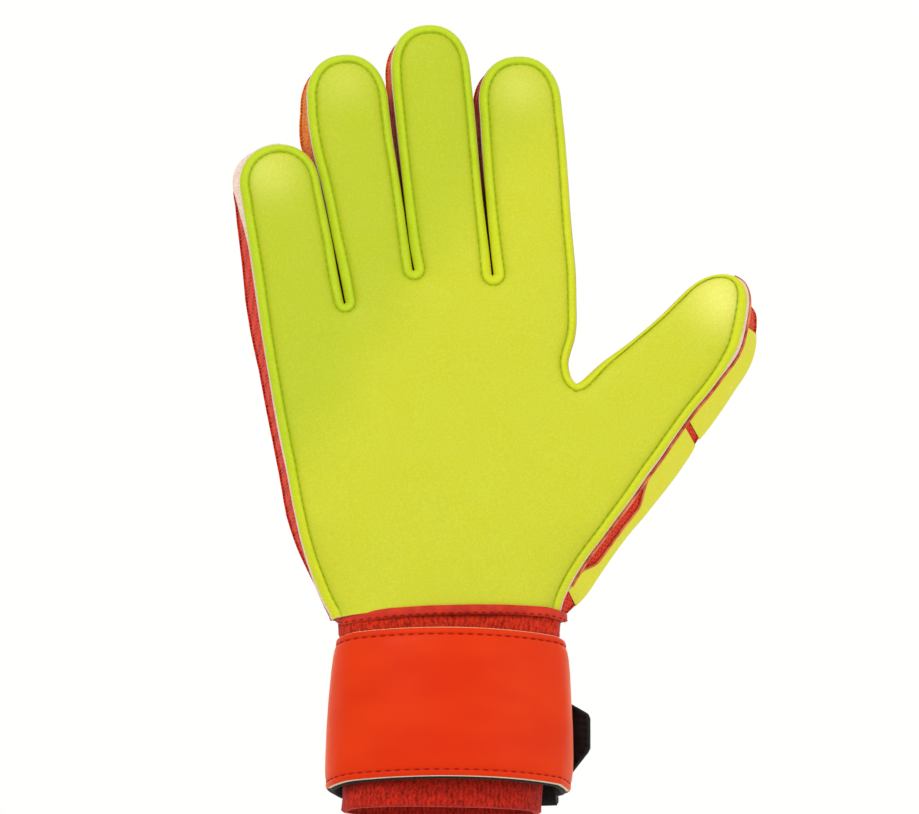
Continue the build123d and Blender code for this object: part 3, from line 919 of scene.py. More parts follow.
# Edge values: the seam is at 3, and both the rows of points and the face's depth go by them.
ROWS = (0.25, 0.7, 1.3, 1.9, 2.4, 2.75, 3.0, 3.25, 3.6, 4.2, 5.0, 6.2, 8.0, 10.5)
EDGE_PROFILE = (
    (0.0, HEM_EDGE), (0.25, -10.35), (0.7, -11.1), (1.3, -11.65), (1.9, -11.85), (2.4, -11.7), (2.75, -11.3),
    (3.0, -11.1), (3.25, -11.4), (3.6, -11.95), (4.2, -12.55), (5.0, -13.0), (6.2, -13.4), (8.0, -13.75),
    (10.5, -14.0), (15.0, LATEX_FRONT),
)
WRIST_CURVE = 5.6  # how far the palm's sides curve back at the wrist


def wrist_bend(points):
    """How far the palm's sides curve back near the wrist, to meet the round binding."""
    near = 1 - smooth(points[:, 1], 74, 108)
    return WRIST_CURVE * near * np.clip(np.abs(points[:, 0] + 1) / 46, 0, 1.1) ** 3


def edge_value(points):
    """Distance from the seamed outline, scaled so that the seam is at 3, and the place along it."""
    distance, index = nearest(points, OUTLINE[:BOTTOM_FROM], closed=False)
    width = HEM_WIDTH[index]
    edge = np.where(distance < width, 3 * distance / width, 3 + distance - width)
    return edge, index


def palm_heights(points):
    """The depth of the palm's face at points, and their edge value."""
    edge, index = edge_value(points)
    y = np.interp(edge, *np.transpose(EDGE_PROFILE))
    place = ALONG[index]
    near_seam = np.exp(-(((edge - 3.0) / 1.3) ** 2))
    y = y + 0.10 * near_seam * np.sin(place * 2 * np.pi / 3.1)
    hem = smooth(edge, 0.0, 1.0) * (1 - smooth(edge, 2.4, 3.2))
    y = y + hem * (0.22 * np.sin(place / 2.9) * np.sin(place / 11.0) + 0.12 * np.sin(place / 1.7 + 1))
    x, z = points[:, 0], points[:, 1]
    deep = smooth(edge, 5, 16)
    waves = 0.35 * np.sin(x / 17 + z / 23 + 0.6) * np.sin(z / 19 - x / 31)
    waves = waves + 0.12 * np.sin(x / 7.0 + 2 * np.sin(z / 21))
    y = y + deep * waves
    hollow = np.exp(-(((x + 2) / 26) ** 2) - (((z - 132) / 30) ** 2))
    return y + 0.9 * deep * hollow + wrist_bend(points), edge


# Where a painted highlight makes the latex paler on a finger's tip: across, along, the size of the patch, and how
# much paler.
TIP_HIGHLIGHTS = {
    "pinky": (-2, 38, 10, 0.35), "ring": (-1, 62, 9, 0.2), "index": (0, 60, 9, 0.3), "thumb": (-6, 50, 11, 0.7),
}


def tip_highlight(points):
    # The strength of the painted fingertip highlight at each point.
    which = finger_of(points)[0]
    amount = np.zeros(len(points))
    for name, (across, along, size, most) in TIP_HIGHLIGHTS.items():
        far = FINGERS[name].local(points) - (across, along)
        amount += most * np.exp(-(far**2).sum(1) / size**2) * (which == HAND_NAMES.index(name))
    return amount


def seam_line():
    """The line of the seam, in glove X and Z."""
    line = OUTLINE[:BOTTOM_FROM] + INWARD[:BOTTOM_FROM] * HEM_WIDTH[:BOTTOM_FROM, None]
    ok = nearest(line, OUTLINE)[0] > HEM_WIDTH[:BOTTOM_FROM] - 0.06
    return line[ok]


def cut_at_joints(points, triangles):
    """The hand's and each finger part's share of a sheet: its number, its points and its triangles."""
    segments = segment_of(points[triangles].mean(1))
    for number in range(11):
        used, part = np.unique(triangles[segments == number], return_inverse=True)
        yield number, used, part.reshape(-1, 3)


def make_palm():
    rows = [HEM_WIDTH * r / 3 if r < 3 else HEM_WIDTH + (r - 3) for r in ROWS]
    points, triangles = fill(OUTLINE, rows, 2.7)
    front_y, edge = palm_heights(points)
    front = at_depth(points, front_y)
    back = at_depth(points, PALM_BACK + wrist_bend(points))
    triangles, normals = facing(front, triangles, TO_PALM)
    # Painted highlight on the fingertips, stored in the tint attribute.
    painted_light = tip_highlight(points)
    seam = seam_line()
    seam = at_depth(seam, palm_heights(seam)[0])
    stitches = stitch_shells(seam, np.tile(TO_PALM, (len(seam), 1)), 2.6, 0.3, 0.2, -0.03)
    stitch_at = segment_of([(centre[:, 0].mean(), centre[:, 2].mean()) for centre, _, _ in stitches])
    for number, used, part in cut_at_joints(points, triangles):
        builder = Builder()
        # Painted shade for the palm's foam walls down in the slits.
        shade = slit_shade(points[used])
        values = {"edge": edge[used], "tint": painted_light[used], "around": shade}, {"edge": 9.0, "around": shade}
        materials = "latex", "lining", "foam_edge"
        builder.add_slab(part, (front[used], back[used]), (normals[used], TO_BACK), materials, values)
        mine = [shell for shell, at in zip(stitches, stitch_at) if at == number]
        add_stitches(builder, mine, "lime_thread", edge=9.0)
        piece = builder.build("palm_" + segment_name(number))
        if number == 0:
            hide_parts("palm_latex", "palm_lining")
        else:
            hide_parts(node_of(number, "palm"))
        move_with(piece, number)


# ---------------------------------------------------------------- bands round the edge
def runs_of(numbers):
    """Stretches of equal number in a list, as (number, first, last)."""
    cuts = np.flatnonzero(np.diff(numbers)) + 1
    ends = [0, *cuts.tolist(), len(numbers)]
    return [(int(numbers[a]), a, b) for a, b in zip(ends[:-1], ends[1:]) if b - a > 1]


def add_sections(builder, sections, normals, **values):
    """Adds the points of cross-sections; returns the first one's index, and normals for the whole piece."""
    first = builder.add_points(sections.reshape(-1, 3), **values)
    every = np.zeros((len(builder.points), 3))
    every[first:] = normals.reshape(-1, 3)
    return first, every


def side_faces(here, following, j, sides):
    """The faces of one side of a strip, from cross-sections that start at here to the following ones."""
    k = (j + 1) % sides
    return np.stack([here + j, following + j, following + k, here + k], 1)


def add_band(builder, sections, normals, material, **values):
    """A strip with closed ends and one cross-section per row of sections.

    material is one name, or one for each side, or (before, after, index) for a side where it changes."""
    count, sides = sections.shape[:2]
    values = {k: np.repeat(np.asarray(v, float), sides) if np.ndim(v) else v for k, v in values.items()}
    first, every = add_sections(builder, sections, normals, **values)
    names = [material] * sides if isinstance(material, str) else material
    names = [(name, name, 0) if isinstance(name, str) else name for name in names]
    for j, (early, late, change) in enumerate(names):
        for name, i in ((early, np.arange(change)), (late, np.arange(change, count - 1))):
            here = first + i * sides
            builder.add_faces(side_faces(here, here + sides, j, sides), name, every)
    start = first + np.arange(sides)
    builder.add_faces([start, start[::-1] + (count - 1) * sides], names[0][0])


def section_normals(sections):
    """Smooth normals of a swept strip with closed cross-sections."""
    around = np.roll(sections, -1, axis=1) - np.roll(sections, 1, axis=1)
    along = np.gradient(sections, axis=0)
    return unit(np.cross(along, around))


def on_wall(i, share, inset, y):
    """A point of the side wall: a share of the way from the palm's outline to the backhand's at index i,
    then inset inwards, at depth y."""
    p = OUTLINE[i] + (BACK[i] - OUTLINE[i]) * share + INWARD[i] * inset
    return p[0], y, p[1]


def bend_at(i):
    """How far the palm curves back at a point of the outline."""
    return float(wrist_bend(OUTLINE[i : i + 1])[0])


def band_sections(first, last, profile):
    """Cross-sections of a strip along the outline. profile gives (share, inset, y) points at each index."""
    made = []
    for i in range(first, last):
        made.append([on_wall(i, share, inset, y) for share, inset, y in profile(i)])
    return np.array(made)


def cuts_of(numbers):
    """Stretches of the seamed outline, each reaching one point into the next, so that pieces meet."""
    return [(n, max(a - 1, 0) if a else 0, b) for n, a, b in runs_of(numbers)]


OUTLINE_SEGMENT = segment_of(OUTLINE)[:BOTTOM_FROM]


def foam_bulge(i):
    """How far the white foam of the palm's edge stands out at a point of the outline."""
    pinky = FINGERS["pinky"].local(OUTLINE[i])[0]
    thumb = FINGERS["thumb"].local(OUTLINE[i])[0]
    bulge = 0.02 + 0.12 * math.sin(ALONG[i] / 9.0)
    if pinky[0] < 4:
        bulge += 2.3 * float(smooth(pinky[1], 10, 38)) * float(smooth(-pinky[0], 5, 14))
    if OWNER[i] == 0 and pinky[0] < 4:
        bulge += 0.25
    if OWNER[i] == 4:
        bulge += (0.3 + 0.6 * float(smooth(thumb[1], 28, 42))) * float(smooth(thumb[0], -10, -3))
    return bulge


# How strong the painted shade is in each slit, from the little finger's side.
SLIT_SHADE_AMOUNT = (0.15, 1.0, 1.0)


def slit_shade(points):
    """How much painted shade, a dark brown, the foam has down in the slits."""
    shade = np.zeros(len(points))
    for end, most in zip(SLIT_ENDS, SLIT_SHADE_AMOUNT):
        far = np.linalg.norm(points - np.array(end), axis=1)
        shade = np.maximum(shade, most * (1 - smooth(far, 26, 60)))
    return shade


def make_edges():
    """The cut foam that shows along the palm's hem, one strip for each part of the hand."""
    for number, first, last in cuts_of(OUTLINE_SEGMENT):

        def profile(i):
            out = foam_bulge(i)
            ring = [(1.2, -9.9), (-0.05, -9.7), (-out, -9.1), (-out, -8.3), (-0.1, -7.7), (1.2, -7.9)]
            return [(0, inset, y + bend_at(i)) for inset, y in ring]

        sections = band_sections(first, last, profile)
        builder = Builder()
        # Painted shade down in the slits.
        shade = slit_shade(OUTLINE[first:last])
        add_band(builder, sections, section_normals(sections), "foam_edge", around=shade)
        place = f"{segment_name(number)}_{first}" if number == 0 else segment_name(number)
        piece = builder.build(f"foam_edge_{place}_{first}")
        move_with(piece, number)


GUSSET_WALL = 1.0
GUSSET_POINTS = 7
WALL_FRONT = -8.4  # the depth where the side walls start, at the palm


def gusset_profile(i):
    """The mesh wall between palm and backhand: bowed slightly out, with an inner face."""
    low, high = WALL_FRONT + bend_at(i), 6.6
    outer, inner = [], []
    for t in np.linspace(0, 1, GUSSET_POINTS):
        inset = 0.8 - 0.55 * math.sin(math.pi * t)
        y = low + (high - low) * t
        outer.append((t, inset, y))
        inner.append((t, inset + GUSSET_WALL, y))
    return outer + inner[::-1]


YELLOW_TIPS = (0.0, 1.0, 0.55, 0.35, 0.1)  # for each finger, from the little one to the thumb


def gusset_tint(points):
    """Orange-yellow towards the fingertips, red on the hand."""
    which, along = finger_of(points)
    tint = np.zeros(len(points))
    for k, amount in enumerate(YELLOW_TIPS):
        on = which == k
        tint[on] = amount * smooth(along[on], 4, 34)
    return tint


def make_gussets():
    """The mesh side walls, one strip for each part of the hand that the outline passes."""
    used = set()
    for number, first, last in cuts_of(OUTLINE_SEGMENT):
        sections = band_sections(first, last, gusset_profile)
        name = segment_name(number)
        if number == 0:
            middle = OUTLINE[(first + last) // 2]
            if first == 0:
                name, node = "gusset_pinky_side", "pinky_side_gusset"
            elif last >= BOTTOM_FROM - 1:
                name, node = "gusset_thumb_side", "thumb_side_gusset"
            elif middle[0] > 40:
                name, node = "gusset_thumb_web", "thumb_web_gusset"
            else:
                name, node = f"gusset_slit_{int(round((middle[0] + 70) / 30))}", None
        else:
            node = node_of(number, "gusset")
            side = "_b" if number in used else "_a"
            used.add(number)
            name = f"gusset_{name}" + ("" if number > 5 else side)
        builder = Builder()
        tint = gusset_tint(OUTLINE[first:last])
        add_band(builder, sections, section_normals(sections), "mesh", tint=tint, around=ALONG[first:last])
        piece = builder.build(name)
        if node:
            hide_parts(node)
        length = float(ALONG[last - 1] - ALONG[first])
        wall = sections[:, :GUSSET_POINTS]
        width = float(np.linalg.norm(np.diff(wall, axis=1), axis=2).sum(1).mean())
        if min(length, width) > 10:
            palm = "palm_" + segment_name(number)
        move_with(piece, number)


# ---------------------------------------------------------------- backhand
MESH_FRONT, MESH_BACK = 6.0, 8.0


def rows_in(loop, distances):
    """Rows for fill at even distances in from a loop."""
    return [np.full(len(loop), distance) for distance in distances]


def make_backhand():
    points, triangles = fill(BACK, rows_in(BACK, (1.0, 2.2, 4.5)), 3.4)
    distance = nearest(points, BACK)[0]
    round_off = 0.8 * np.exp(-((distance / 0.8) ** 2))
    back_y = MESH_BACK - round_off + 0.25 * np.sin(points[:, 0] / 13) * np.sin(points[:, 1] / 17)
    front = at_depth(points, MESH_FRONT + 0.6 * round_off)
    back = at_depth(points, back_y)
    triangles, normals = facing(back, triangles, TO_BACK)
    tint = gusset_tint(points) * 0.8
    for number, used, part in cut_at_joints(points, triangles):
        builder = Builder()
        tints = [{"tint": tint[used]}] * 2
        builder.add_slab(part, (back[used], front[used]), (normals[used], TO_PALM), ["mesh"] * 3, tints)
        piece = builder.build("backhand_" + segment_name(number))
        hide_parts(node_of(number, "mesh") if number else "backhand_mesh")
        size = np.ptp(points[used], axis=0)
        move_with(piece, number)


# ---------------------------------------------------------------- backhand pads
PAD_UNDER = 7.6
PAD_INSET = 2.2
PAD_GROOVE = 1.5
PAD_PROFILE = ((0.0, 8.0), (0.05, 9.6), (0.5, 11.2), (1.2, 12.2), (2.4, 12.8), (4.5, 13.0))


def rounded(corners, radius, step=1.2):
    """A closed loop with rounded corners through the given polygon, sampled every step."""
    p = np.asarray(corners, float)
    count = len(p)
    line = []
    for i in range(count):
        before, here, after = p[i - 1], p[i], p[(i + 1) % count]
        to_before, to_after = before - here, after - here
        lengths = np.linalg.norm(to_before), np.linalg.norm(to_after)
        u, v = to_before / lengths[0], to_after / lengths[1]
        bend = math.acos(float(np.clip(-u @ v, -1, 1)))
        if bend < 0.2:
            line.append(here)
            continue
        r = min(radius * math.tan(bend / 2), 0.45 * min(lengths))
        for t in np.linspace(0, 1, max(3, int(bend / 0.25))):
            a, b = here + u * r, here + v * r
            line.append((1 - t) ** 2 * a + 2 * t * (1 - t) * here + t**2 * b)
    line = np.array(line)
    made = []
    for i in range(len(line)):
        run = line[(i + 1) % len(line)] - line[i]
        pieces = max(1, int(round(np.linalg.norm(run) / step)))
        for k in range(pieces):
            made.append(line[i] + run * k / pieces)
    made = np.array(made)
    area = 0.5 * np.sum(made[:, 0] * np.roll(made[:, 1], -1) - np.roll(made[:, 0], -1) * made[:, 1])
    return made[::-1] if area > 0 else made


def make_pad(name, loop, emboss, body, node):
    """A moulded foam pad on the backhand, with a rounded edge and an embossed face."""
    points, triangles = fill(loop, rows_in(loop, (0.05, 0.5, 1.2, 2.4, 3.4, 4.2, 5.2)), 2.0)
    distance = nearest(points, loop)[0]
    pressed = emboss(points, distance)
    y = np.interp(distance, *np.transpose(PAD_PROFILE)) - PAD_GROOVE * pressed
    face, under = at_depth(points, y), at_depth(points, PAD_UNDER)
    triangles, normals = facing(face, triangles, TO_BACK)
    builder = Builder()
    # Painted shade: edge values near 3 in the embossed grooves give them the latex's dark seam colour.
    edges = {"edge": 9.0 - 6.2 * pressed}, {"edge": 9.0}
    builder.add_slab(triangles, (face, under), (normals, TO_PALM), ["foam_pad"] * 3, edges)
    piece = builder.build(name)
    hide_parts(node)
    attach(piece, body)


def groove(value, period, width):
    """1 in the middle of grooves that come every period, 0 between them."""
    off = np.abs((value / period) % 1 - 0.5) * period
    return np.exp(-((off / width) ** 2))


def finger_emboss(finger, middle, half):
    """A rim groove, and cross ribs inside it."""

    def emboss(points, distance):
        local = finger.local(points)
        rim = np.exp(-(((distance - 3.4) / 0.55) ** 2))
        inner = smooth(distance, 3.6, 4.6)
        ribs = groove(local[:, 1] - middle + 0.12 * (local[:, 0] / half) ** 2 * half, 5.2, 0.75)
        return np.maximum(0.95 * rim, 0.9 * inner * ribs)

    return emboss


def finger_loops(k):
    """The outlines of a finger's two pads, from the backhand's edge."""
    finger = FINGERS[HAND_NAMES[k]]
    own = np.flatnonzero(OWNER == k)
    along = finger.local(OUTLINE[own])[:, 1]
    inset = BACK + INWARD * PAD_INSET
    near = own[(along > 1.2) & (along < finger.middle - 1.2)]
    far = own[along > finger.middle + 1.2]
    return [inset[near][::3], inset[far][::3]]


def make_finger_pads():
    for k, name in enumerate(HAND_NAMES):
        finger = FINGERS[name]
        near, far = finger_loops(k)
        middle_of = {"proximal": finger.middle / 2, "distal": (finger.middle + finger.length) / 2}
        for half, corners in (("proximal", near), ("distal", far)):
            loop = rounded(corners, 3.0)
            emboss = finger_emboss(finger, middle_of[half], 12.0)
            make_pad(f"pad_{name}_{half}", loop, emboss, f"{name}_{half}", f"{name}_{half}_pad")


def hand_emboss(points, distance):
    """Long shallow channels that fan from the wrist, inside a rim groove."""
    x, z = points[:, 0], points[:, 1]
    rim = np.exp(-(((distance - 4.2) / 0.7) ** 2))
    inner = smooth(distance, 5.0, 7.0)
    fan = np.degrees(np.arctan2(x + 4, z + 60))
    ribs = groove(fan, 4.2, 0.32)
    stops = groove(np.hypot(x + 4, z + 60), 26.0, 0.9)
    return np.maximum(0.95 * rim, inner * np.maximum(0.92 * ribs, 0.88 * stops))


def knuckle_emboss(points, distance):
    """Chevrons across the knuckles, inside a rim groove."""
    x, z = points[:, 0], points[:, 1]
    rim = np.exp(-(((distance - 3.8) / 0.6) ** 2))
    inner = smooth(distance, 4.2, 6.0)
    wave = np.abs(((x + 58) / 28) % 2 - 1) * 6
    return np.maximum(0.95 * rim, 0.92 * inner * groove(z + wave, 7.0, 0.8))


def make_hand_pads():
    inset = BACK + INWARD * PAD_INSET
    hand = np.flatnonzero((OWNER == 0) & (OUTLINE[:, 1] > 79) & (OUTLINE[:, 1] < 156))
    left = inset[hand[INWARD[hand, 0] > 0]][::4]
    thumb = FINGERS["thumb"]
    along = thumb.local(OUTLINE)[:, 1]
    side = np.flatnonzero((OWNER == 4) & (along < -2.5) & (np.arange(len(OUTLINE)) > BOTTOM_FROM - 140))
    side = side[(OUTLINE[side, 1] > 79) & (side < BOTTOM_FROM)]
    right = inset[side][::4]
    base = thumb.out([(-17.5, -2.2), (26.5, -2.2)])
    top = [(left[-1][0] + 0.3, 157.2), (44.6, 157.2), (44.8, 154.5)]
    corners = np.vstack([left, top, base, right])
    make_pad("pad_back", rounded(corners, 3.5, 1.5), hand_emboss, "hand", "backhand_pad")
    knuckles = [(left[-1][0] + 0.2, 159.4)]
    halves = {"pinky": (-12.9, 13.2), "ring": (-12.2, 12.6), "middle": (-11.8, 12.9), "index": (-12.9, 12.6)}
    for name, (low, high) in halves.items():
        knuckles += FINGERS[name].out([(low, -2.2), (high, -2.2)]).tolist()
    knuckles += [(44.3, 186), (44.6, 172), (43.6, 159.4)]
    make_pad("pad_knuckles", rounded(knuckles, 3.0, 1.4), knuckle_emboss, "hand", "knuckle_pad")


# ---------------------------------------------------------------- side of the thumb
PIPING_R = 0.62
# The side pad's face: the share of the way across it, and how much of its thickness it has there.
SIDE_PAD_FACE = (
    (0.0, 0.0), (0.0, 0.45), (0.05, 0.8), (0.14, 0.95), (0.3, 1.0), (0.5, 1.0), (0.7, 0.98), (0.85, 0.9),
    (0.95, 0.7), (1.0, 0.35), (1.0, 0.0),
)
SIDE_PAD_END = 1.08  # the share of the side wall where it ends, just past the backhand


def wall_depth(i, share, front=WALL_FRONT):
    """The depth a share of the way across the side wall."""
    bend = bend_at(i)
    return front + bend + (15.4 - bend) * share


def side_pad_edge(i):
    """Share of the side wall, from the palm, where the side pad starts: it leaves a window near the wrist."""
    z = OUTLINE[i, 1]
    window = smooth(z, 89.5, 98) * (1 - smooth(z, 116.5, 126))
    return 0.12 + 0.5 * float(window)


def side_pad_sections(first, last, thick, taper):
    """A padded strip on the side wall: an outer face that rounds down to the wall at its edges."""
    made = []
    for i in range(first, last):
        start = side_pad_edge(i)
        end = min(i - first, last - 1 - i)
        lift = thick * float(smooth(end, -1.0, taper)) ** 0.5
        ring = []
        for t, h in SIDE_PAD_FACE:
            share = start + (SIDE_PAD_END - start) * t
            out = -0.3 - lift * h
            y = wall_depth(i, share) + 0.75 * (out + 0.3) * 0.5
            ring.append(on_wall(i, share, 0.6 * out + 0.45, y))
        for t in (0.9, 0.5, 0.1):
            share = start + (SIDE_PAD_END - start) * t
            ring.append(on_wall(i, share, 0.9, wall_depth(i, share) + 0.3))
        made.append(ring)
    return np.array(made)


def make_side_pads():
    """The padded strips down the thumb's outer side, split at its joints."""
    thumb = FINGERS["thumb"]
    local = thumb.local(OUTLINE)
    first = int(np.argmax((OWNER == 4) & (local[:, 0] > 5.5) & (local[:, 1] > 45)))

    def passes(along):
        """The first index where the outline is nearer the wrist than that."""
        return first + int(np.argmax(local[first:BOTTOM_FROM, 1] < along))

    start = first + int(np.argmax(BACK[first:BOTTOM_FROM, 1] < 182.0))
    tip_cut, hand_cut = passes(thumb.part), passes(thumb.cut)
    parts = (
        ("tip", start, tip_cut + 1, 10),
        ("base", tip_cut, passes(9.6), 5),
        ("heel", passes(8.2), hand_cut + 1, 5),
        ("hand", hand_cut, BOTTOM_FROM - 10, 0),
    )
    for name, a, b, number in parts:
        before = 6 if name in ("base", "hand") else 0
        after = 6 if name in ("tip", "heel") else 0
        sections = side_pad_sections(a - before, b + after, 1.5, 3.0)[before : b - a + before]
        builder = Builder()
        add_band(builder, sections, section_normals(sections), "foam_pad", edge=9.0)
        piece = builder.build("side_pad_thumb_" + name)
        move_with(piece, number)


def tube_sections(centres, radius, sides=8):
    """Round cross-sections along a line in space, and their normals."""
    centres = np.asarray(centres, float)
    along = unit(np.gradient(centres, axis=0))
    across = unit(np.cross(along, [0, 1.0, 0]))
    ring = all_round(across, np.cross(across, along), sides)
    return centres[:, None] + ring * radius, ring


def make_piping():
    """Salmon piping along the palm's edge on the outer side of the thumb, and round the window."""
    local = FINGERS["thumb"].local(OUTLINE)
    first = int(np.argmax((OWNER == 4) & (local[:, 0] > -9) & (local[:, 1] > 45)))
    for number, a, b in cuts_of(OUTLINE_SEGMENT):
        a, b = max(a, first), min(b, BOTTOM_FROM - 12)
        if b - a < 4:
            continue
        centres = [on_wall(i, 0.05, -foam_bulge(i) - 0.25, -7.6 + bend_at(i)) for i in range(a, b)]
        sections, normals = tube_sections(centres, PIPING_R)
        builder = Builder()
        add_band(builder, sections, normals, "piping", around=np.arange(a, b))
        if number == 0:
            window = [i for i in range(a, b) if side_pad_edge(i) > 0.13]
            edge = []
            for i in window:
                share = side_pad_edge(i) - 0.03
                edge.append(on_wall(i, share, -0.3, wall_depth(i, share, WALL_FRONT - 0.2)))
            sections, normals = tube_sections(edge, PIPING_R * 0.9)
            add_band(builder, sections, normals, "piping", around=np.arange(len(window)))
        piece = builder.build("piping_" + segment_name(number))
        move_with(piece, number)


# ---------------------------------------------------------------- cuff
# The strap's oval is made of four arcs: one at each narrow side, and a broad one in front and behind.
STRAP_HALF = (44.5, 26.0)
SIDE_R = 16.0
SIDE_CENTRE = STRAP_HALF[0] - SIDE_R
NARROW = STRAP_HALF[1] - SIDE_R
BROAD_CENTRE = (SIDE_CENTRE**2 - NARROW**2) / (2 * NARROW)
BROAD_R = STRAP_HALF[1] + BROAD_CENTRE
CORNER = math.degrees(math.atan2(BROAD_CENTRE, SIDE_CENTRE))
STRAP_LOW, STRAP_HIGH = 9.4, 64.0
CUFF_SHIFT = 2.0  # the cuff lies this far towards the thumb
STRAP_MIDDLE = 34.5
STRAP_FLARE = 1.8  # the strap is this much wider at its bottom edge, and narrower at its top
THUMB_UPRIGHT = 0.9  # how much of the flare is missing on the thumb side
FOAM_SHOWN_TO = 352.0  # past this direction the strap's lower edge is turned in, and shows only lining
TAIL_START, TAIL_LEAVES, TAIL_STRAIGHT = 179.0, 66.0, 19.0  # two directions, then its straight run
STRAP_GROOVES, LINING_MIDDLE = (6, 17), 30  # places round the strap's section


def oval_point(turn, out=0.0):
    """A point of the cuff's oval where its normal has that direction, and the normal."""
    turn = turn % 360
    normal = np.array([cos(turn), sin(turn)])
    if turn < CORNER or turn > 360 - CORNER:
        centre, r = (SIDE_CENTRE, 0), SIDE_R
    elif turn < 180 - CORNER:
        centre, r = (0, -BROAD_CENTRE), BROAD_R
    elif turn < 180 + CORNER:
        centre, r = (-SIDE_CENTRE, 0), SIDE_R
    else:
        centre, r = (0, BROAD_CENTRE), BROAD_R
    return np.array(centre) + (CUFF_SHIFT, 0) + normal * (r + out), normal


def wrap(first, last, step=1.5):
    """Directions from first to last that are about step apart on the oval."""
    way = 1 if last > first else -1
    turns = [first]
    while (last - turns[-1]) * way > 0:
        here = turns[-1] % 360
        on_side = here < CORNER or here > 360 - CORNER or 180 - CORNER < here < 180 + CORNER
        turns.append(turns[-1] + way * math.degrees(step / (SIDE_R if on_side else BROAD_R)))
    turns[-1] = last
    return turns


def strap_section(low, high):
    """Points (out, height) round the strap's padded section, and the material of each side."""
    mid = (low + high) / 2
    face = [
        (-1.2, low - 0.1), (-0.95, low + 0.05), (-0.7, low + 0.35), (-0.5, low + 0.9), (-0.42, low + 1.45),
        (-0.55, low + 1.9), (-0.95, low + 2.25), (-0.5, low + 2.7), (-0.1, low + 3.9), (0.25, low + 6.5),
        (0.52, low + 12.0), (0.62, mid - 5), (0.62, mid + 5), (0.52, high - 12.0), (0.25, high - 6.5),
        (-0.1, high - 3.9), (-0.5, high - 2.7), (-0.95, high - 2.25), (-0.55, high - 1.9), (-0.42, high - 1.45),
        (-0.5, high - 0.9), (-0.7, high - 0.35), (-0.95, high - 0.05), (-1.2, high + 0.1),
    ]
    foam_top = [(-1.35, high + 0.25), (-1.7, high + 0.3), (-2.2, high + 0.15)]
    lining = [
        (-2.4, high - 0.1), (-3.3, high - 3), (-4.6, high - 8), (-4.6, low + 8), (-4.5, low + 1.2),
        (-3.7, low - 0.9), (-2.8, low - 1.1), (-2.3, low - 0.3),
    ]
    foam_low = [(-2.1, low - 0.2), (-1.7, low - 0.3), (-1.35, low - 0.25)]
    points = face + foam_top + lining + foam_low
    names = ["strap"] * (len(face) - 1) + ["strap_foam"] * (len(foam_top) + 1)
    names += ["lining"] * (len(lining) - 1) + ["strap_foam"] * (len(foam_low) + 1)
    return points, names


def strap_wave(turn, z):
    """The strap's outer face is a little uneven."""
    return 0.25 * math.sin(math.radians(turn) * 5 + z / 16) * math.sin(z / 11 + 1.0)


def strap_sections(path, heights):
    """Cross-sections of the strap along a path of (point, normal, direction). In front it lies higher."""
    made = []
    for (point, normal, turn), (low, high) in zip(path, heights):
        ring = []
        thumb_side = float(smooth(normal[0], 0.3, 0.95))
        front = math.sin(math.radians(turn - 180)) ** 2 if 180 < turn < 360 else 0.0
        for out, z in strap_section(low, high)[0]:
            upright = 1 - thumb_side * (THUMB_UPRIGHT if z < STRAP_MIDDLE else 0.25)
            flare = STRAP_FLARE * upright * (STRAP_MIDDLE - z) / 25.5
            wave = strap_wave(turn, z) if out > -2 else 0.0
            p = point + normal * (out + flare + wave)
            top, bottom = float(smooth(z, 40, STRAP_HIGH)), float(1 - smooth(z, STRAP_LOW, 26))
            ring.append((p[0], p[1], z + front * (1.8 * top + 2.0 * bottom)))
        made.append(ring)
    return np.array(made)


def oval_path(first, last):
    """Points of the oval with their normals and directions."""
    return [(*oval_point(turn), turn) for turn in wrap(first, last)]


TAIL_WAY = np.array([sin(TAIL_LEAVES), -cos(TAIL_LEAVES)])


def tail_path():
    """The tail follows the oval round the back, then runs on straight."""
    path = oval_path(TAIL_START, TAIL_LEAVES)
    point, normal = oval_point(TAIL_LEAVES)
    for run in np.arange(1.5, TAIL_STRAIGHT + 0.1, 1.5):
        path.append((point + TAIL_WAY * run, normal, TAIL_LEAVES))
    return path


def strap_stitches(builder, sections):
    """Two rows of stitches in the grooves near the strap's edges."""
    for j in STRAP_GROOVES:
        line = sections[:, j]
        normals = line - sections[:, LINING_MIDDLE]
        normals[:, 2] = 0
        shells = stitch_shells(line, normals, 2.3, 1.3, 0.32, 0.06)
        add_stitches(builder, shells, "red_thread")


def make_strap():
    """The strap's front, and its tail in two pieces: one at the joint, which is baked in place, and the rest,
    which rides on the tail.
    """
    path = oval_path(TAIL_START, 388.0)
    sections = strap_sections(path, [(STRAP_LOW, STRAP_HIGH)] * len(path))
    names = strap_section(STRAP_LOW, STRAP_HIGH)[1]
    lined = names[:-4] + ["lining"] * 4
    turned = int(np.argmax([turn > FOAM_SHOWN_TO for _, _, turn in path]))
    names = [(foam, lining, turned) for foam, lining in zip(names, lined)]
    builder = Builder()
    add_band(builder, sections, section_normals(sections), names)
    strap_stitches(builder, sections)
    strap = builder.build("strap_front")
    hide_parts("strap_cover", "strap_foam", "strap_lining")
    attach(strap, "cuff")

    path = tail_path()
    turns = np.array([turn for _, _, turn in path])
    ease = smooth(-turns, -178, -95)
    heights = [(STRAP_LOW - 2.6 * e, STRAP_HIGH - 3.4 * e) for e in ease]
    sections = strap_sections(path, heights)
    normals = -section_normals(sections)
    split = int(np.argmax(turns < 126))
    for name, a, b in (("strap_turn", 0, split + 1), ("strap_tail", split, len(path))):
        builder = Builder()
        add_band(builder, sections[a:b][:, ::-1], normals[a:b][:, ::-1], lined[::-1][1:] + lined[-1:])
        strap_stitches(builder, sections[a:b])
        piece = builder.build(name)
        if name == "strap_turn":
            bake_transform(piece)
        else:
            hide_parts("tail_cover", "tail_foam", "tail_lining")
            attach(piece, "strap_tail")


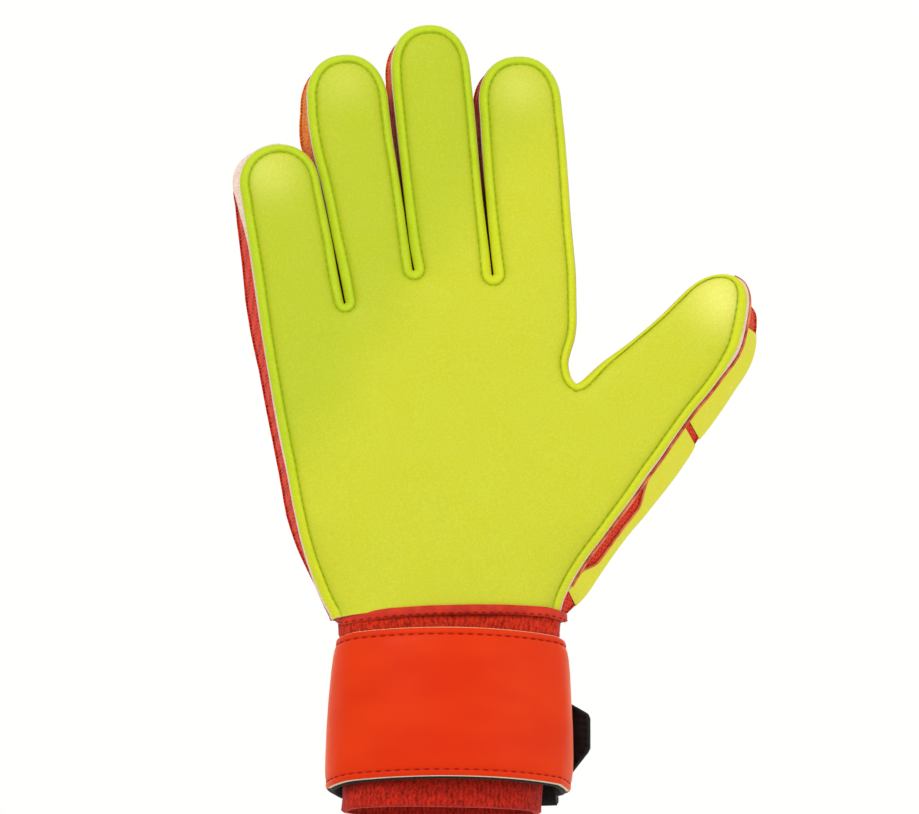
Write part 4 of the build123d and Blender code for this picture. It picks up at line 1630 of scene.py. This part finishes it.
def grip_patch(name, turns, out, thick, low, high, material, body, node):
    """A curved patch of hook or loop tape on the strap's broad back."""
    profile = ((0, low), (thick, low + 0.4), (thick, high - 0.4), (0, high))
    sections = np.array([[(*oval_point(turn, out + u)[0], z) for u, z in profile] for turn in turns])
    builder = Builder()
    add_band(builder, sections, section_normals(sections), material)
    piece = builder.build(name)
    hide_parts(node)
    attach(piece, body)


def super_loop(half_x, half_y, power, count, shift=0.0):
    """A closed rounded-rectangle loop of XY points."""
    turn = np.arange(count) * 360 / count
    c, s = cos(turn), sin(turn)
    x = half_x * np.sign(c) * np.abs(c) ** (2 / power) + shift
    y = half_y * np.sign(s) * np.abs(s) ** (2 / power)
    return np.stack([x, y], 1)


def ring_normals(sections):
    """Smooth normals of a closed ring with closed cross-sections."""
    around = np.roll(sections, -1, axis=1) - np.roll(sections, 1, axis=1)
    along = np.roll(sections, -1, axis=0) - np.roll(sections, 1, axis=0)
    return unit(np.cross(along, around))


def add_ring(builder, sections, material, other=None, where=None):
    """A closed ring; sections are [place round the ring][place round the section].

    The places chosen by where have the other material."""
    count, sides = sections.shape[:2]
    run = np.repeat(distance_along(sections.mean(1)), sides)
    first, every = add_sections(builder, sections, ring_normals(sections), around=run)
    where = np.zeros(count, bool) if where is None else where
    for name, i in ((material, np.flatnonzero(~where)), (other, np.flatnonzero(where))):
        here, following = first + i * sides, first + (i + 1) % count * sides
        for j in range(sides):
            builder.add_faces(side_faces(here, following, j, sides), name, every)


JOIN_FROM = 37.5  # the ends of the wrist knit are joined under smooth tape from here to the thumb side


def sleeve_sections(levels, wall, count=180, ripple=0.0):
    """A knitted sleeve: levels are (z, half width, half depth, squareness, shift) from the bottom up."""
    outer = [super_loop(hx, hy, power, count, shift) for _, hx, hy, power, shift in levels]
    inner = [super_loop(hx - wall, hy - wall, power, count, shift) for _, hx, hy, power, shift in levels]
    turn = np.arange(count) * 2 * np.pi / count
    made = []
    for loops, order in ((outer, range(len(levels))), (inner, range(len(levels) - 1, -1, -1))):
        for n in order:
            loop = loops[n]
            grown = loop * (1 + ripple * (np.sin(turn * 9 + n) + 0.6 * np.sin(turn * 23 + 2 * n))[:, None] / 40)
            made.append(np.column_stack([grown, np.full(count, float(levels[n][0]))]))
    return np.array(made).transpose(1, 0, 2)


def make_cuff():
    """The inner cuff, pressed flatter under the loop tape, and the wrist knit, which is baked in place."""
    levels = [(0.9, 35.9, 18.2, 2.35, -1.4), (1.6, 36.5, 18.7, 2.35, -1.4)]
    for z in (5, 9, 12, 16, 24, 34, 44, 54, 59):
        under = float(smooth(z, 8, 12.5))
        inside = float(smooth(z, 6, 20))
        half = 36.5 + 0.3 * inside + 0.1 * math.sin(z)
        levels.append((z, half, 18.7 - 0.8 * under, 2.35 - 0.3 * under, -1.4 + 2.4 * inside))
    levels += [(60.0, 36.8, 17.6, 2.05, 1.1)]
    sections = sleeve_sections(levels, 1.9, ripple=0.25)
    builder = Builder()
    # The inner cuff's darker knit is painted shade under the strap.
    add_ring(builder, sections, "cuff_knit_painted_shade")
    sleeve = builder.build("inner_cuff")
    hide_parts("cuff_bandage")
    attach(sleeve, "cuff")

    levels = (
        (56.5, 36.9, 18.0, 2.35, 1.3), (60.5, 37.4, 17.4, 2.4, 1.3), (62.2, 38.8, 16.6, 2.5, 1.3),
        (64.0, 40.0, 15.8, 2.6, 1.5), (66.0, 40.5, 15.4, 2.75, 1.5), (68.5, 40.6, 14.9, 2.9, 1.6),
        (71.0, 40.8, 14.0, 3.0, 1.8), (73.8, 41.0, 13.0, 3.1, 1.8),
    )
    sections = sleeve_sections(levels, 1.6, ripple=0.3)
    builder = Builder()
    middle = sections.mean(1)
    add_ring(builder, sections, "knit", "binding", (middle[:, 0] > JOIN_FROM) & (middle[:, 1] < 2))
    knit = builder.build("wrist_knit")
    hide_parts("wrist_elastic")
    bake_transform(knit)


def binding_height(x, y):
    """The level of the binding's middle: it follows the lower edges of the palm and the backhand."""
    front = float(smooth(-y, -4, 8))
    behind = np.interp(x, *BACK[[0, BOTTOM_FROM - 1]].T) + 0.6
    return front * (np.interp(x, *np.transpose(WRIST_EDGE)) - 2.0) + (1 - front) * float(behind)


# Round the binding's section: the distance out, and the height above its middle.
BINDING_SECTION = (
    (0.0, -1.7), (0.45, -1.5), (0.75, -0.9), (0.8, 0.0), (0.75, 1.1), (0.45, 1.8), (0.0, 2.0), (-1.2, 1.9),
    (-1.3, 0), (-1.2, -1.6),
)


def make_binding():
    """The smooth tape round the glove's lower edge, with a row of stitches near its own lower edge."""
    made = []
    for x, y in super_loop(41.7, 14.9, 3.0, 220, 2.3):
        level = binding_height(x, y)
        normal = unit([x / 44.6**2 * abs(x / 44.6), y / 14.9**2 * abs(y / 14.9)])
        made.append([(x + normal[0] * out, y + normal[1] * out, level + z) for out, z in BINDING_SECTION])
    sections = np.array(made)
    builder = Builder()
    add_ring(builder, sections, "binding")
    closed = np.vstack([sections, sections[:1]])
    shells = stitch_shells(closed[:, 1] + [0, 0, 0.5], closed[:, 3] - closed[:, 8], 1.9, 1.1, 0.28, 0.1)
    add_stitches(builder, shells, "red_thread")
    binding = builder.build("wrist_binding_tape")
    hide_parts("wrist_binding")
    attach(binding, "hand")


# The tab's corners: how far out from the end of the tail, and how high.
TAB_OUTLINE = (
    (-3.0, 12.4), (1.2, 12.4), (11.3, 24.6), (12.1, 26.2), (12.1, 37.2), (11.3, 39.0), (1.8, 44.6), (-3.0, 45.2),
)
TAB_EDGE = (0, 0.15, 0.5, 1.0)  # distances in from the tab's outline
TAB_HALF = (0.35, 0.6, 0.8, 0.9)  # half its thickness there


def make_tab():
    """The rubber pull tab at the end of the strap's tail, with grip ribs."""
    point, normal = oval_point(TAIL_LEAVES, -2.5)
    loop = rounded(TAB_OUTLINE, 1.6, 0.7)
    points, triangles = fill(loop, rows_in(loop, TAB_EDGE[1:]), 0.8)
    distance = nearest(points, loop)[0]
    half = np.interp(distance, TAB_EDGE, TAB_HALF)
    inner = smooth(distance, 1.2, 1.8) * smooth(points[:, 0], 1.0, 2.0)
    half = half - 0.35 * inner * groove(points[:, 1] - 31.0, 2.6, 0.5)
    sides = []
    for way_out in (1, -1):
        xy = point + TAIL_WAY * TAIL_STRAIGHT + points[:, :1] * TAIL_WAY + normal * (half * way_out)[:, None]
        sides.append(np.column_stack([xy, points[:, 1]]))
    triangles, normals = facing(sides[0], triangles, (*normal, 0))
    builder = Builder()
    both = normals, -point_normals(sides[1], triangles)
    builder.add_slab(triangles, sides, both, ["tab"] * 3, [{}, {}])
    tab = builder.build("tab")
    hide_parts("pull_tab")
    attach(tab, "strap_tail")


make_camera()
make_light()
make_floor()
make_palm()
make_edges()
make_gussets()
make_backhand()
make_finger_pads()
make_hand_pads()
make_side_pads()
make_piping()
make_strap()
grip_patch("loop_tape", wrap(168.0, 14.0, 3.0), -7.0, 1.2, 13.0, 56.0, "loop", "cuff", "loop_panel")
grip_patch("hook_tape", wrap(110.0, 66.0, 3.0), -5.35, 0.5, 18.0, 50.0, "hook", "strap_tail", "hook_patch")
make_cuff()
make_binding()
make_tab()

bpy.context.scene.view_settings.view_transform = "Standard"
